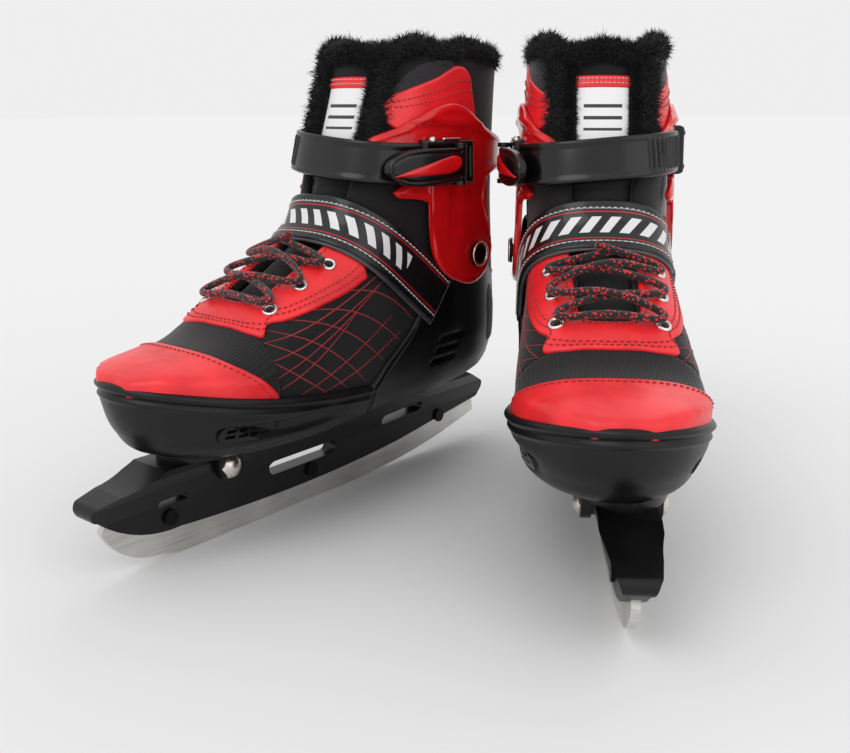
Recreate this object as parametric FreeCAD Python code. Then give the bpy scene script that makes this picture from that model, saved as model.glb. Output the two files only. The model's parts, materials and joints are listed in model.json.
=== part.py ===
import FreeCAD, Part
import os
from math import cos, pi, radians, sin, sqrt, tan

# A pair of adjustable ice skates: soft boots in sliding plastic shells, tilting cuffs,
# ratchet buckles and steel blades.  Each skate is drawn in its own frame, X to the toe,
# Y to the outer side of the foot and Z up from the ice, then turned and set in the pair.

Vector = FreeCAD.Vector

# How the pair stands.  The toes point along -Y, turned by toe_turn towards -X.
stand = {"left": {"outer": 1, "x": -152.0, "y": 25.0, "toe_turn": 34.6},
         "right": {"outer": -1, "x": 0.0, "y": 0.0, "toe_turn": 0.0}}

# Blade and its holder
blade_thick = 4.0
blade_flat_rear = -20.0
blade_flat_front = 88.0
blade_front = 150.0
blade_rear = -151.0
blade_front_r = 180.0
blade_rear_r = 520.0
blade_tang = 24.0
slot_gap = 0.05
web_half = 5.0
deck_half = 14.0
frame_side = -7.0   # the frame and its blade sit this far to the inner side of the boot's middle
deck_z = 51.0
beak_front = 158.0
beak_rear = -155.0
rivet_r = 2.5
rivet_places = ((-108.0, 23.5), (12.0, 19.5), (112.0, 22.5))
rivet_head = 1.6

# Sole plate, and the bolts that carry the holder
plate_thick = 5.0
plate_half = 25.0
plate_front = 112.0
plate_rear = -77.0
ear_x = 82.0
ear_z = 44.5
ear_r = 8.0
ear_thick = 5.0
bolt_r = 3.0
bolt_head_r = 6.5
bolt_head = 3.6
screw_places = (-20.0, -120.0)
rail_rear = 12.0
rail_front = 100.0
rail_half = 4.0
rail_head_half = 8.0
rail_gap = 0.1

# Plastic shells
shell_wall = 3.0
shell_floor = 4.0
heel_rise = 0.2
heel_rise_start = -75.0
sleeve_gap = 0.4
sleeve_wall = 2.6
shell_split = 3.0
sleeve_overlap = 25.0
size_travel = 18.0

# Soft boot
boot_wall = 4.5
soft_gap = 0.4
boot_floor = 63.0
heel_lift = 11.0
lift_front = -30.0
lift_rear = -72.0
tread_gap = 2.6
footbed_thick = 4.0
footbed_half = 30.0
size_split = 75.5
stay_thick = 1.6
stay_gap = 0.1
collar_top = 242.0
tongue_rise = 14.0
fur_rise = 17.0
tongue_half = 27.0
tongue_thick = 5.0
shaft_spare = 20.0

# Cuff and its pivot
pivot_x = -87.0
pivot_z = 139.5
cuff_wall = 3.0
cuff_opening = 24.0
tilt_back = 6.0
tilt_forward = 4.0
tilt_spare = 1.5
split_r = 46.0
split_gap = 1.0
split_angle = 33.0
pivot_r = 4.0
pivot_gap = 0.05
pivot_head_r = 7.5
boss_inner = 40.9
boss_outer = 44.8

# Ratchet buckle and strap
strap_width = 22.0
strap_thick = 2.4
strap_mid_z = 198.0
strap_slope = -0.09
lever_hinge_x = -60.0
lever_length = 47.0
lever_half = 8.5
lever_thick = 4.5
lever_pin_r = 1.6
pin_gap = 0.05
cuff_seat = 0.15
strap_lift = 0.4
lever_y = 51.6
lever_z = strap_mid_z + strap_slope * lever_y

# Instep strap, laces and the size button
band_width = 31.0
band_thick = 3.0
band_angle = 38.0
band_split = 84.0
tip_length = 36.0
tip_gap = 0.8
eyelet_rows = ((62.0, 24.5), (42.0, 25.5), (22.0, 26.5))
lace_d = 4.0
eyelet_r = 4.2
eyelet_hole_r = 2.3
eyelet_lift = 0.4
eyelet_flange = 0.9
button_x = -40.0
button_z = 66.5
button_r = 5.0
button_pin_r = 2.5
button_travel = 2.5
button_gap = 0.08

foot_power = 2.5
foot_sole_power = 4.5
shaft_power = 2.9

# Half widths of the sole in plan, as shares: (share of the length from the toe, share of the ball half width)
sole_plan = ((0.0, 0.0), (0.012, 0.30), (0.045, 0.58), (0.11, 0.83), (0.24, 1.0), (0.40, 0.94),
             (0.55, 0.84), (0.75, 0.84), (0.89, 0.72), (0.97, 0.42), (1.0, 0.0))

# Levels of the shell: (z, toe end, heel end, ball half width), all for its outer face
shell_levels = ((56.0, 112.0, -124.0, 33.0), (62.0, 127.0, -134.0, 39.5), (72.0, 136.0, -141.0, 44.5),
                (86.0, 141.0, -144.0, 47.5), (104.0, 142.5, -144.5, 48.0), (130.0, 139.0, -142.5, 47.4),
                (162.0, 130.0, -140.0, 46.8))

# Sections of the foot part of the boot: (x, half width, top z)
foot_sections = ((137.0, 12.0, 92.0), (134.0, 24.0, 98.0), (126.0, 34.5, 103.5), (110.0, 42.0, 107.0),
                 (85.0, 44.0, 113.0), (60.0, 43.0, 129.0), (20.0, 40.0, 151.0), (-15.0, 37.5, 171.0),
                 (-45.0, 36.0, 176.0), (-90.0, 35.5, 150.0), (-125.0, 28.0, 118.0), (-138.0, 12.0, 100.0))

# Levels of the boot's shaft: (z, front x, back x, half width)
shaft_levels = ((80.0, 12.0, -139.0, 35.0), (110.0, 14.0, -140.0, 36.0), (140.0, 10.0, -138.0, 36.4),
                (170.0, 1.0, -134.0, 37.4), (200.0, -9.0, -132.0, 38.6), (225.0, -18.0, -133.0, 39.2),
                (collar_top + shaft_spare, -29.0, -137.0, 40.2))

# Levels of the cuff's outer face: (z, front x, back x, half width)
cuff_levels = ((100.0, 14.0, -144.5, 44.3), (140.0, 11.0, -143.5, 44.3), (170.0, 4.0, -139.0, 43.6),
               (200.0, -4.0, -136.5, 42.8), (240.0, -17.0, -138.0, 43.6))


def closed_spline(points):
    curve = Part.BSplineCurve()
    curve.interpolate(Points=points, PeriodicFlag=True)
    return Part.Wire([curve.toShape()])


def loft(wires):
    return Part.makeLoft(wires, True, False)


def sole_wire(z, toe, heel, ball_half):
    length = toe - heel
    side = [(toe - share * length, width * ball_half) for share, width in sole_plan]
    outer = [Vector(x, y, z) for x, y in side]
    inner = [Vector(x, -y, z) for x, y in side[-2:0:-1]]
    return closed_spline(outer + inner)


def shell_body(inset):
    """The shell's whole volume, drawn in by inset from its outer face."""
    return loft([sole_wire(z, toe - inset, heel + inset, half - inset)
                 for z, toe, heel, half in shell_levels])


def rounded(angle, power):
    """Unit superellipse point at an angle."""
    c, s = cos(angle), sin(angle)
    reach = (abs(c) ** power + abs(s) ** power) ** (-1.0 / power)
    return c * reach, s * reach


def foot_wire(x, half, top, bottom):
    middle = (top + bottom) / 2
    rise = (top - bottom) / 2
    points = []
    for step in range(16):
        angle = 2 * pi * step / 16
        across, up = rounded(angle, foot_power if sin(angle) > 0 else foot_sole_power)
        points.append(Vector(x, half * across, middle + rise * up))
    return closed_spline(points)


def shaft_wire(z, front, back, half):
    middle = (front + back) / 2
    reach = (front - back) / 2
    points = []
    for step in range(20):
        along, across = rounded(2 * pi * (step + 0.5) / 20, shaft_power)
        points.append(Vector(middle + reach * along, half * across, z))
    return closed_spline(points)


def foot_body(inset):
    return loft([foot_wire(x - inset * (1 if x > 0 else -1), half - inset, top - inset, boot_floor + inset)
                 for x, half, top in foot_sections])


def shaft_body(inset):
    return loft([shaft_wire(z, front - inset, back + inset, half - inset)
                 for z, front, back, half in shaft_levels])


def outline_wire(start, *steps):
    """Closed outline in the XZ plane: two numbers are a line, four an arc through a point to a point."""
    here = Vector(start[0], 0, start[1])
    first = here
    edges = []
    for step in steps:
        there = Vector(step[-2], 0, step[-1])
        if len(step) == 4:
            edges.append(Part.Arc(here, Vector(step[0], 0, step[1]), there).toShape())
        else:
            edges.append(Part.LineSegment(here, there).toShape())
        here = there
    if here.distanceToPoint(first) > 1e-6:
        edges.append(Part.LineSegment(here, first).toShape())
    return Part.Wire(edges)


def side_plate(wire, low, high):
    """A flat plate with a side-view outline, from y = low to y = high."""
    face = Part.Face(wire)
    face.translate(Vector(0, low, 0))
    return face.extrude(Vector(0, high - low, 0))


def side_region(*points):
    return side_plate(outline_wire(*points), -120.0, 120.0)


def tread(lift):
    """Side region above the boot's sole line, which rises to the heel, moved up by lift."""
    low, high = boot_floor + lift, boot_floor + heel_lift + lift
    return side_region((200.0, low), (200.0, 400.0), (-200.0, 400.0), (-200.0, high), (lift_rear, high),
                       (lift_front, low))


def box(low, high):
    return Part.makeBox(high[0] - low[0], high[1] - low[1], high[2] - low[2], Vector(*low))


def rod(start, end, radius):
    axis = Vector(*end) - Vector(*start)
    return Part.makeCylinder(radius, axis.Length, Vector(*start), axis)


def biggest(shape):
    return max(shape.Solids, key=lambda solid: solid.Volume)


def fuse_all(shapes):
    return shapes[0].multiFuse(shapes[1:]).removeSplitter()


# ---------------------------------------------------------------- blade and holder

def rocker(x):
    """Height of the running edge, which is flat in the middle and a tangent arc at each end."""
    if x > blade_flat_front:
        reach, radius = x - blade_flat_front, blade_front_r
    else:
        reach, radius = max(0.0, blade_flat_rear - x), blade_rear_r
    return radius - sqrt(radius * radius - reach * reach)


def blade_outline():
    toe_bend = blade_flat_front + 38.0
    heel_middle = (blade_flat_rear + blade_rear) / 2
    return outline_wire(
        (blade_flat_rear, 0.0), (blade_flat_front, 0.0),
        (blade_flat_front + 19.0, rocker(blade_flat_front + 19.0), toe_bend, rocker(toe_bend)),
        (141.5, 12.5, blade_front, 25.0),
        (blade_front - 3.0, 29.5), (106.0, blade_tang), (-80.0, blade_tang),
        (blade_rear + 2.0, 30.0), (blade_rear, rocker(blade_rear)),
        (heel_middle, rocker(heel_middle), blade_flat_rear, 0.0))


def blade():
    plate = side_plate(blade_outline(), -blade_thick / 2, blade_thick / 2)
    for x, z in rivet_places:
        plate = plate.cut(rod((x, -blade_thick, z), (x, blade_thick, z), rivet_r))
    return plate


def window(x_rear, z_rear, x_front, z_front, half):
    """A long round-ended hole through the web."""
    run = Vector(x_front - x_rear, 0, z_front - z_rear)
    side = Vector(-run.z, 0, run.x).normalize() * half
    along = Vector(run).normalize() * half
    rear, front = Vector(x_rear, 0, z_rear), Vector(x_front, 0, z_front)
    wire = Part.Wire([Part.LineSegment(rear + side, front + side).toShape(),
                      Part.Arc(front + side, front + along, front - side).toShape(),
                      Part.LineSegment(front - side, rear - side).toShape(),
                      Part.Arc(rear - side, rear - along, rear + side).toShape()])
    return side_plate(wire, -40.0, 40.0)


def heel_line(x):
    """Height of the heel shell's underside."""
    return deck_z + plate_thick + max(0.0, heel_rise_start - x) * heel_rise


def holder():
    post_front, post_rear = -108.0, -135.0
    side = side_plate(outline_wire(
        (118.0, deck_z), (128.0, 47.0, 143.0, 44.0), (beak_front - 3.0, 41.5),
        (beak_front, 38.0, beak_front - 4.0, 33.0), (135.0, 20.5, 106.0, 15.4),
        (20.0, 12.4, -66.0, 16.5), (-148.0, 27.0),
        (beak_rear, 33.5, -150.0, 40.5), (-127.0, 51.5), (post_rear, heel_line(post_rear)),
        (post_front, heel_line(post_front)), (-95.0, 48.0, plate_rear, deck_z)), -30.0, 30.0)
    half = Part.makePolygon([Vector(-170, y, z) for y, z in (
        (-web_half, 5.0), (web_half, 5.0), (web_half, 30.0), (8.5, 40.0), (deck_half, 48.0),
        (deck_half, 80.0), (-deck_half, 80.0), (-deck_half, 48.0), (-8.5, 40.0),
        (-web_half, 30.0), (-web_half, 5.0))])
    section = Part.Face(half).extrude(Vector(340, 0, 0))
    body = side.common(section)
    body = body.fuse(rod((ear_x, -deck_half, ear_z), (ear_x, deck_half, ear_z), deck_z - ear_z - 0.1))
    for ends in ((102.0, 31.0, 117.0, 31.0, 1.8), (-5.0, 28.5, 40.0, 28.5, 4.0),
                 (-85.0, 35.5, -53.0, 34.0, 3.2)):
        body = body.cut(window(*ends))
    slot = side_plate(blade_outline(), -blade_thick / 2 - slot_gap, blade_thick / 2 + slot_gap)
    body = body.cut(slot)
    body = body.cut(rod((ear_x, -40, ear_z), (ear_x, 40, ear_z), bolt_r))
    for x, z in rivet_places:
        body = body.cut(rod((x, -40, z), (x, 40, z), rivet_r))
    for x in screw_places:
        body = body.cut(rod((x, 0, heel_line(x) - 14), (x, 0, 90), bolt_r))
    return biggest(body)


def rivets():
    solids = []
    for x, z in rivet_places:
        shank = rod((x, -web_half, z), (x, web_half, z), rivet_r)
        heads = [rod((x, side * web_half, z), (x, side * (web_half + rivet_head), z), rivet_r + 1.8)
                 for side in (-1, 1)]
        solids.append(fuse_all([shank] + heads))
    return Part.makeCompound(solids)


def hex_head(base, direction, radius, height):
    """A six-sided head with its outer edge turned down."""
    points = [Vector(radius * cos(pi * k / 3), radius * sin(pi * k / 3), 0) for k in range(7)]
    head = Part.Face(Part.makePolygon(points)).extrude(Vector(0, 0, height))
    ball_r = (radius * radius + height * height) / (2 * height) * 1.02
    head = head.common(Part.makeSphere(ball_r, Vector(0, 0, height - ball_r)))
    head.Placement = FreeCAD.Placement(Vector(*base), FreeCAD.Rotation(Vector(0, 0, 1), Vector(*direction)))
    return head


def frame_bolts():
    face = deck_half + ear_thick
    cross = [rod((ear_x, -face, ear_z), (ear_x, face, ear_z), bolt_r)]
    for side in (-1, 1):
        cross.append(hex_head((ear_x, side * face, ear_z), (0, side, 0), bolt_head_r, bolt_head))
    solids = [fuse_all(cross)]
    for x in screw_places:
        floor = boot_floor - tread_gap + (heel_lift if x < lift_rear else 0.0)
        shank = rod((x, 0, heel_line(x) - 14), (x, 0, floor), bolt_r)
        head = rod((x, 0, floor), (x, 0, floor + tread_gap - 0.6), bolt_r + 2.2)
        solids.append(fuse_all([shank, head]))
    return Part.makeCompound(solids)


def sole_plate():
    low, high = deck_z, deck_z + plate_thick
    plan = Part.Face(sole_wire(low, plate_front, plate_rear - 25.0, plate_half))
    plate = plan.extrude(Vector(0, 0, plate_thick))
    plate = plate.cut(box((-200, -60, 0), (plate_rear, 60, 100)))
    pieces = [plate]
    for side in (-1, 1):
        inner, outer = side * deck_half, side * (deck_half + ear_thick)
        ear = rod((ear_x, inner, ear_z), (ear_x, outer, ear_z), ear_r)
        web = box((ear_x - ear_r, min(inner, outer), ear_z), (ear_x + ear_r, max(inner, outer), low + 1))
        pieces += [ear, web]
    stem_top = high + shell_floor + rail_gap
    pieces.append(box((rail_rear, -rail_half, high - 1), (rail_front, rail_half, stem_top + 0.5)))
    pieces.append(box((rail_rear, -rail_head_half, stem_top), (rail_front, rail_head_half, stem_top + 2.0)))
    plate = fuse_all(pieces)
    plate = plate.cut(rod((ear_x, -40, ear_z), (ear_x, 40, ear_z), bolt_r))
    plate = plate.cut(rod((screw_places[0], 0, 40), (screw_places[0], 0, 80), bolt_r))
    return biggest(plate)


# ---------------------------------------------------------------- shells

def shell_half(x, z):
    """Half width of the shell's outer face, read off its levels."""
    for low, high in zip(shell_levels, shell_levels[1:]):
        if z <= high[0]:
            break
    part = (z - low[0]) / (high[0] - low[0])
    toe, heel, half = [a + part * (b - a) for a, b in zip(low[1:], high[1:])]
    share = (toe - x) / (toe - heel)
    for near, far in zip(sole_plan, sole_plan[1:]):
        if share <= far[0]:
            break
    mix = (share - near[0]) / (far[0] - near[0])
    return half * (near[1] + mix * (far[1] - near[1]))


def toe_shell(outer, inner, sleeve_out, sleeve_in):
    floor_z = deck_z + plate_thick + rail_gap
    hollow = inner.common(box((-300, -90, floor_z + shell_floor), (300, 90, 200)))
    front = outer.cut(hollow).common(side_region(
        (shell_split + 0.4, floor_z), (200.0, floor_z), (200.0, 103.0), (142.0, 100.0),
        (110.0, 94.0, 79.0, 86.5), (36.5, 79.0), (shell_split + 0.4, 75.0)))
    sleeve = sleeve_out.cut(sleeve_in)
    back = sleeve.common(box((shell_split - sleeve_overlap, -90, floor_z + shell_floor + 1.0),
                             (shell_split + 6.0, 90, 74.5)))
    slot_rear = button_x - size_travel
    tail = sleeve.common(box((slot_rear - 7.0, -90, button_z - 5.0),
                             (shell_split - sleeve_overlap + 1.0, 0, button_z + 4.0)))
    shell = front.fuse([back, tail])
    shell = shell.cut(box((slot_rear - button_pin_r - 0.3, -90, button_z - button_pin_r - 0.3),
                          (button_x + button_pin_r + 0.3, 0, button_z + button_pin_r + 0.3)))
    shell = shell.cut(box((-300, frame_side - rail_half - 0.15, 0),
                          (rail_front + 0.5, frame_side + rail_half + 0.15, floor_z + shell_floor + 0.01)))
    for side in (-1, 1):
        shell = shell.cut(vent_pocket(side, 0.0))
    return biggest(shell)


def vent_pocket(side, shrink):
    """The long recess low on each side of the toe, which holds a vent grille."""
    pocket = window(58.0, 69.0, 104.0, 72.5, 4.6 - shrink)
    half = box((0, 1 if side > 0 else -100, 0), (200, 100 if side > 0 else -1, 200))
    return pocket.common(half)


def toe_vents(outer, inner):
    skin = outer.cut(inner)
    solids = []
    for side in (-1, 1):
        grille = skin.common(vent_pocket(side, 0.05))
        for column in range(7):
            for row in (-1, 1):
                x = 62.0 + column * 6.4
                z = 70.6 + row * 1.6 + column * 0.35
                grille = grille.cut(box((x, -60, z - 0.9), (x + 4.6, 60, z + 0.9)))
        solids.append(biggest(grille))
    return Part.makeCompound(solids)


def heel_shell(outer, inner):
    floor_z = deck_z + plate_thick
    region = side_region(
        (shell_split, floor_z), (shell_split, 73.0), (-9.5, 85.0), (-32.0, 102.0),
        (-40.0, 112.0), (-54.0, 128.0, pivot_x + 16.0, pivot_z + 17.0),
        (pivot_x, pivot_z + 22.0, pivot_x - 17.0, pivot_z + 14.0),
        (-122.0, 126.0, -160.0, 120.0), (-160.0, heel_line(-160.0)),
        (heel_rise_start, floor_z))
    shell = outer.common(region).cut(inner.common(tread(-tread_gap)))
    face = shell_half(button_x, button_z)
    shell = shell.cut(rod((button_x, -face - 10, button_z), (button_x, -face + 12, button_z),
                          button_r + button_gap))
    shell = shell.cut(rod((pivot_x, -90, pivot_z), (pivot_x, 90, pivot_z), pivot_r))
    for x in screw_places:
        shell = shell.cut(rod((x, frame_side, 40), (x, frame_side, 100), bolt_r))
    for row in range(3):
        for side in (-1, 1):
            low, high = sorted((side * 25.0, side * 60.0))
            shell = shell.cut(box((-72.0 - row * 3, low, 76.0 + row * 7),
                                  (-46.0 - row * 5, high, 78.6 + row * 7)))
    return biggest(shell)


def size_button():
    face = shell_half(button_x, button_z)
    head = rod((button_x, -face - 2.4, button_z), (button_x, -face + 0.2, button_z), button_r)
    pin = rod((button_x, -face + 0.1, button_z), (button_x, -face + 9.5, button_z), button_pin_r)
    return fuse_all([head, pin])


def button_spring():
    """A leaf spring that stands on the heel floor behind the button's pin."""
    back = -shell_half(button_x, button_z) + 9.5
    lift_share = (lift_front - button_x + 4.0) / (lift_front - lift_rear)
    floor = boot_floor - tread_gap + heel_lift * lift_share
    leaf = box((button_x - 4.0, back, floor), (button_x + 4.0, back + 0.6, button_z + button_pin_r + 0.5))
    foot = box((button_x - 4.0, back, floor), (button_x + 4.0, back + 7.0, floor + 0.6))
    return fuse_all([leaf, foot])


def footbed():
    plan = Part.Face(sole_wire(boot_floor, 96.0, -124.0, footbed_half)).extrude(Vector(0, 0, 60.0))
    low = boot_wall + soft_gap
    return biggest(plan.common(tread(low)).cut(tread(low + footbed_thick)))


# ---------------------------------------------------------------- soft boot

def split_arc(radius, front_angle, rear_drop):
    """Side region outside the tilting line: in along a radial line, round the pivot and out along another."""
    def spot(reach, angle):
        return pivot_x + reach * cos(radians(angle)), pivot_z + reach * sin(radians(angle))
    rear_angle = 180.0 + rear_drop
    rear_far, front_far = spot(220.0, rear_angle), spot(220.0, front_angle)
    return side_region(spot(radius, rear_angle), rear_far, (rear_far[0], 330.0), (front_far[0], 330.0),
                       front_far, spot(radius, front_angle), spot(radius, 90.0) + spot(radius, rear_angle))


def toe_cap_region():
    return side_region((76.0, 50.0), (76.0, 86.0), (85.0, 102.0), (97.0, 106.5), (99.0, 140.0), (200.0, 140.0),
                       (200.0, 50.0))


def boot_parts(parts, ring_space, upper_space):
    foot_out, foot_in = foot_body(0.0), foot_body(boot_wall)
    shaft_out, shaft_in = shaft_body(0.0), shaft_body(boot_wall)
    whole = foot_out.fuse(shaft_out).common(tread(0.0))
    hollow = foot_in.fuse(shaft_in).common(tread(boot_wall))
    skin = whole.cut(hollow)

    lower_tub = ring_space.common(box((-300, -90, 0), (300, 90, 76.5)))
    upper_tub = upper_space.common(box((-300, -90, 76.5), (300, 90, 162.0)))
    above = box((-300, -90, 162.0), (300, 90, 400))

    toe_zone = side_region((size_split, 50.0), (200.0, 50.0), (200.0, 170.0), (size_split, 170.0))
    toe_space = upper_space.common(box((-300, -90, 0), (300, 90, 103.0)))
    toe_soft = foot_out.cut(foot_in).common(toe_zone)
    toe_soft = toe_soft.common(toe_space.fuse(box((0, -90, 103.0), (300, 90, 200.0))))
    cap = toe_cap_region()
    parts["toe_cap"] = biggest(toe_soft.common(cap))
    gap_line = side_region((76.0 - 0.3, 50.0), (76.0 - 0.3, 86.0), (85.0 - 0.3, 102.3), (97.0 - 0.3, 106.8),
                           (99.0 - 0.3, 140.0), (200.0, 140.0), (200.0, 50.0))
    parts["vamp"] = biggest(toe_soft.cut(gap_line))

    rear_zone = side_region((size_split - 0.5, 170.0), (size_split - 0.5, 88.0), (36.5, 80.0),
                            (shell_split + 1.5, 76.5), (shell_split - sleeve_overlap - 40.0, 76.5),
                            (shell_split - sleeve_overlap - 40.0, 60.0), (-200.0, 60.0),
                            (-200.0, 300.0), (size_split - 0.5, 300.0))
    collar_zone = split_arc(split_r, split_angle, 0.0)
    lower_zone = rear_zone.cut(split_arc(split_r - split_gap, split_angle - tilt_forward - tilt_spare,
                                          tilt_back + tilt_spare))
    lower = skin.common(lower_zone)
    lower = lower.common(fuse_all([lower_tub, upper_tub]).fuse(above))
    parts["boot_upper"] = biggest(lower)

    opening = box((-75.0, -17.0, 150.0), (60.0, 17.0, 300.0))
    collar = shaft_out.cut(shaft_in).common(collar_zone).common(box((-300, -90, 0), (300, 90, collar_top)))
    parts["boot_collar"] = biggest(collar.cut(opening))


def tongue():
    face = boot_wall + 2 * soft_gap
    slab = shaft_body(face).cut(shaft_body(face + tongue_thick))
    slab = slab.common(split_arc(split_r + 4.0, split_angle + 1.0, 0.0))
    return biggest(slab.common(box((-50.0, -tongue_half, 100.0), (60.0, tongue_half, collar_top + tongue_rise))))


def fur_collar():
    outer, inner = shaft_body(-3.0), shaft_body(boot_wall + soft_gap)
    ring = outer.cut(inner).common(box((-300, -90, collar_top + 0.4), (300, 90, collar_top + fur_rise)))
    return biggest(ring.cut(box((-75.0, -17.0, 200.0), (60.0, 17.0, 300.0))))


def surface_point(x, y, lift):
    """A point on top of the foot at (x, y), moved out by lift along the surface's normal."""
    def height(px, py):
        for near, far in zip(foot_sections, foot_sections[1:]):
            if px >= far[0]:
                break
        mix = (px - near[0]) / (far[0] - near[0])
        half, top = [a + mix * (b - a) for a, b in zip(near[1:], far[1:])]
        rise = (top - boot_floor) / 2
        return boot_floor + rise * (1 + (1 - abs(py / half) ** foot_power) ** (1 / foot_power))
    step = 0.5
    slope_x = (height(x + step, y) - height(x - step, y)) / (2 * step)
    slope_y = (height(x, y + step) - height(x, y - step)) / (2 * step)
    normal = Vector(-slope_x, -slope_y, 1).normalize()
    return Vector(x, y, height(x, y)) + normal * lift, normal


def eyelet_places():
    return [(x, side * y) for x, y in eyelet_rows for side in (1, -1)]


def eyestay():
    skin = foot_body(-stay_thick - stay_gap).cut(foot_body(-stay_gap)).cut(shaft_body(-stay_gap))
    plan = Part.makePolygon([Vector(x, y, 100) for x, y in (
        (74.5, -22.0), (74.5, 22.0), (66.0, 33.0), (-6.0, 34.5), (-6.0, 19.0), (62.0, 14.0),
        (62.0, -14.0), (-6.0, -19.0), (-6.0, -34.5), (66.0, -33.0), (74.5, -22.0))])
    skin = skin.common(Part.Face(plan).extrude(Vector(0, 0, 100)))
    skin = skin.common(side_region((80.0, 113.0), (48.0, 121.0), (17.0, 128.0), (-11.0, 139.0),
                                   (-11.0, 200.0), (80.0, 200.0)))
    for x, y in eyelet_places():
        foot, normal = surface_point(x, y, 0.0)
        skin = skin.cut(Part.makeCylinder(eyelet_hole_r + 0.6, 12.0, foot - normal * 4.0, normal))
    return biggest(skin)


def eyelets():
    solids = []
    for x, y in eyelet_places():
        low, normal = surface_point(x, y, stay_gap + eyelet_lift)
        high = low + normal * stay_thick
        tube = Part.makeCylinder(eyelet_hole_r + 0.55, stay_thick + 0.1, low, normal)
        flange = Part.makeCylinder(eyelet_r, eyelet_flange, high, normal)
        ring = fuse_all([tube, flange]).cut(Part.makeCylinder(eyelet_hole_r, 8.0, low - normal, normal))
        solids.append(biggest(ring))
    return Part.makeCompound(solids)


def rounded_route(points, share=0.45):
    """Straight runs joined by tangent arcs, each as large as its two runs allow."""
    edges = []
    here = points[0]
    radii = []
    for before, corner, after in zip(points, points[1:], points[2:]):
        back, ahead = before - corner, after - corner
        trim = share * min(back.Length, ahead.Length)
        turn = pi - back.getAngle(ahead)
        radii.append(trim / tan(turn / 2))
        back.normalize()
        ahead.normalize()
        start, end = corner + back * trim, corner + ahead * trim
        inward = (back + ahead).normalize()
        depth = radii[-1] / cos(turn / 2) - radii[-1]
        middle = corner + inward * depth
        edges.append(Part.LineSegment(here, start).toShape())
        edges.append(Part.Arc(start, middle, end).toShape())
        here = end
    edges.append(Part.LineSegment(here, points[-1]).toShape())
    return Part.Wire(edges), radii


def lace_route():
    """One lace from end to end: down one side's crossings, over the front bar and up the other's."""
    def at(x, y, lift):
        return surface_point(x, y, lift)[0]
    top = stay_gap + eyelet_lift + stay_thick + eyelet_flange + lace_d / 2 + 1.0
    low = stay_gap + stay_thick + lace_d / 2 + 2.2
    (x1, y1), (x2, y2), (x3, y3) = eyelet_rows
    return [at(23.0, -4.0, low + 1.0), at(x3 + 1.0, y3 - 2.0, top), at(x3 + 7.0, y3 - 1.0, top),
            at((x2 + x3) / 2 + 1.0, 1.5, low), at(x2 - 4.0, -y2, top), at(x2 + 4.0, -y2 + 0.5, top),
            at((x1 + x2) / 2 - 1.0, -1.0, low), at(x1 - 4.5, y1 - 0.5, top), at(x1 + 2.0, y1 - 2.0, top + 0.3),
            at(x1 + 1.0, 0.0, low + 0.8), at(x1 + 2.5, -y1 + 2.0, top + 0.3), at(x1 - 4.0, -y1 + 0.5, top),
            at((x1 + x2) / 2 + 1.0, 1.0, low + lace_d + 0.5), at(x2 + 4.5, y2 - 0.5, top),
            at(x2 - 3.5, y2, top), at((x2 + x3) / 2, -1.0, low + lace_d + 0.5),
            at(x3 + 7.0, -y3 + 1.0, top), at(x3 + 0.5, -y3 + 2.0, top), at(23.0, 4.5, low + lace_d + 1.0)]


def lace():
    points = lace_route()
    path, radii = rounded_route(points)
    first = (points[1] - points[0]).normalize()
    ring = Part.Wire([Part.makeCircle(lace_d / 2, points[0], first)])
    tube = path.makePipeShell([ring], True, False)
    runs = [edge.Length for edge in path.Edges]
    share = tube.Volume / (pi * lace_d * lace_d / 4 * sum(runs))
    print("lace", round(sum(runs), 1), "mm long, volume share", round(share, 3),
          "radii", [round(radius, 1) for radius in radii])
    return tube


# ---------------------------------------------------------------- instep strap

def band_strip(end, start, edge_out=0.0):
    """Side-view strip that the instep strap keeps to, from one length along it to another."""
    along = Vector(cos(radians(band_angle)), 0, sin(radians(band_angle)))
    down = Vector(along.z, 0, -along.x)
    upper = Vector(3.0, 0, 181.0)
    origin = upper - along * upper.dot(along)
    corners = [origin + along * end - down * edge_out, origin + along * start - down * edge_out,
               origin + along * start + down * (band_width + edge_out),
               origin + along * end + down * (band_width + edge_out)]
    return side_plate(Part.makePolygon(corners + corners[:1]), -120.0, 120.0)


def band_skin():
    lift = stay_gap + stay_thick + 0.3
    outer = foot_body(-lift - band_thick).fuse(shaft_body(-lift - band_thick))
    return outer.cut(foot_body(-lift)).cut(shaft_body(-lift))


def instep_strap(skin):
    strip = band_strip(40.0, 240.0)
    keep = side_region((-43.0, 300.0), (-43.0, 150.0), (-52.0 + 9.0, 134.0), (-34.5, 112.0), (-26.0, 104.0),
                       (80.0, 104.0), (80.0, 300.0))
    band = skin.common(strip).common(keep)
    inner_half = box((-300, -90, 0), (300, 0, 400))
    return biggest(band.cut(band_strip(0.0, band_split, 5.0).common(inner_half)))


def strap_tip(skin):
    strip = band_strip(band_split - tip_length, band_split - tip_gap)
    inner_half = box((-300, -90, 0), (300, 0, 400))
    return biggest(skin.common(strip).common(inner_half))


# ---------------------------------------------------------------- cuff, buckle and ratchet strap

def cuff_body(inset):
    return loft([shaft_wire(z, front - inset, back + inset, half - inset)
                 for z, front, back, half in cuff_levels])


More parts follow.
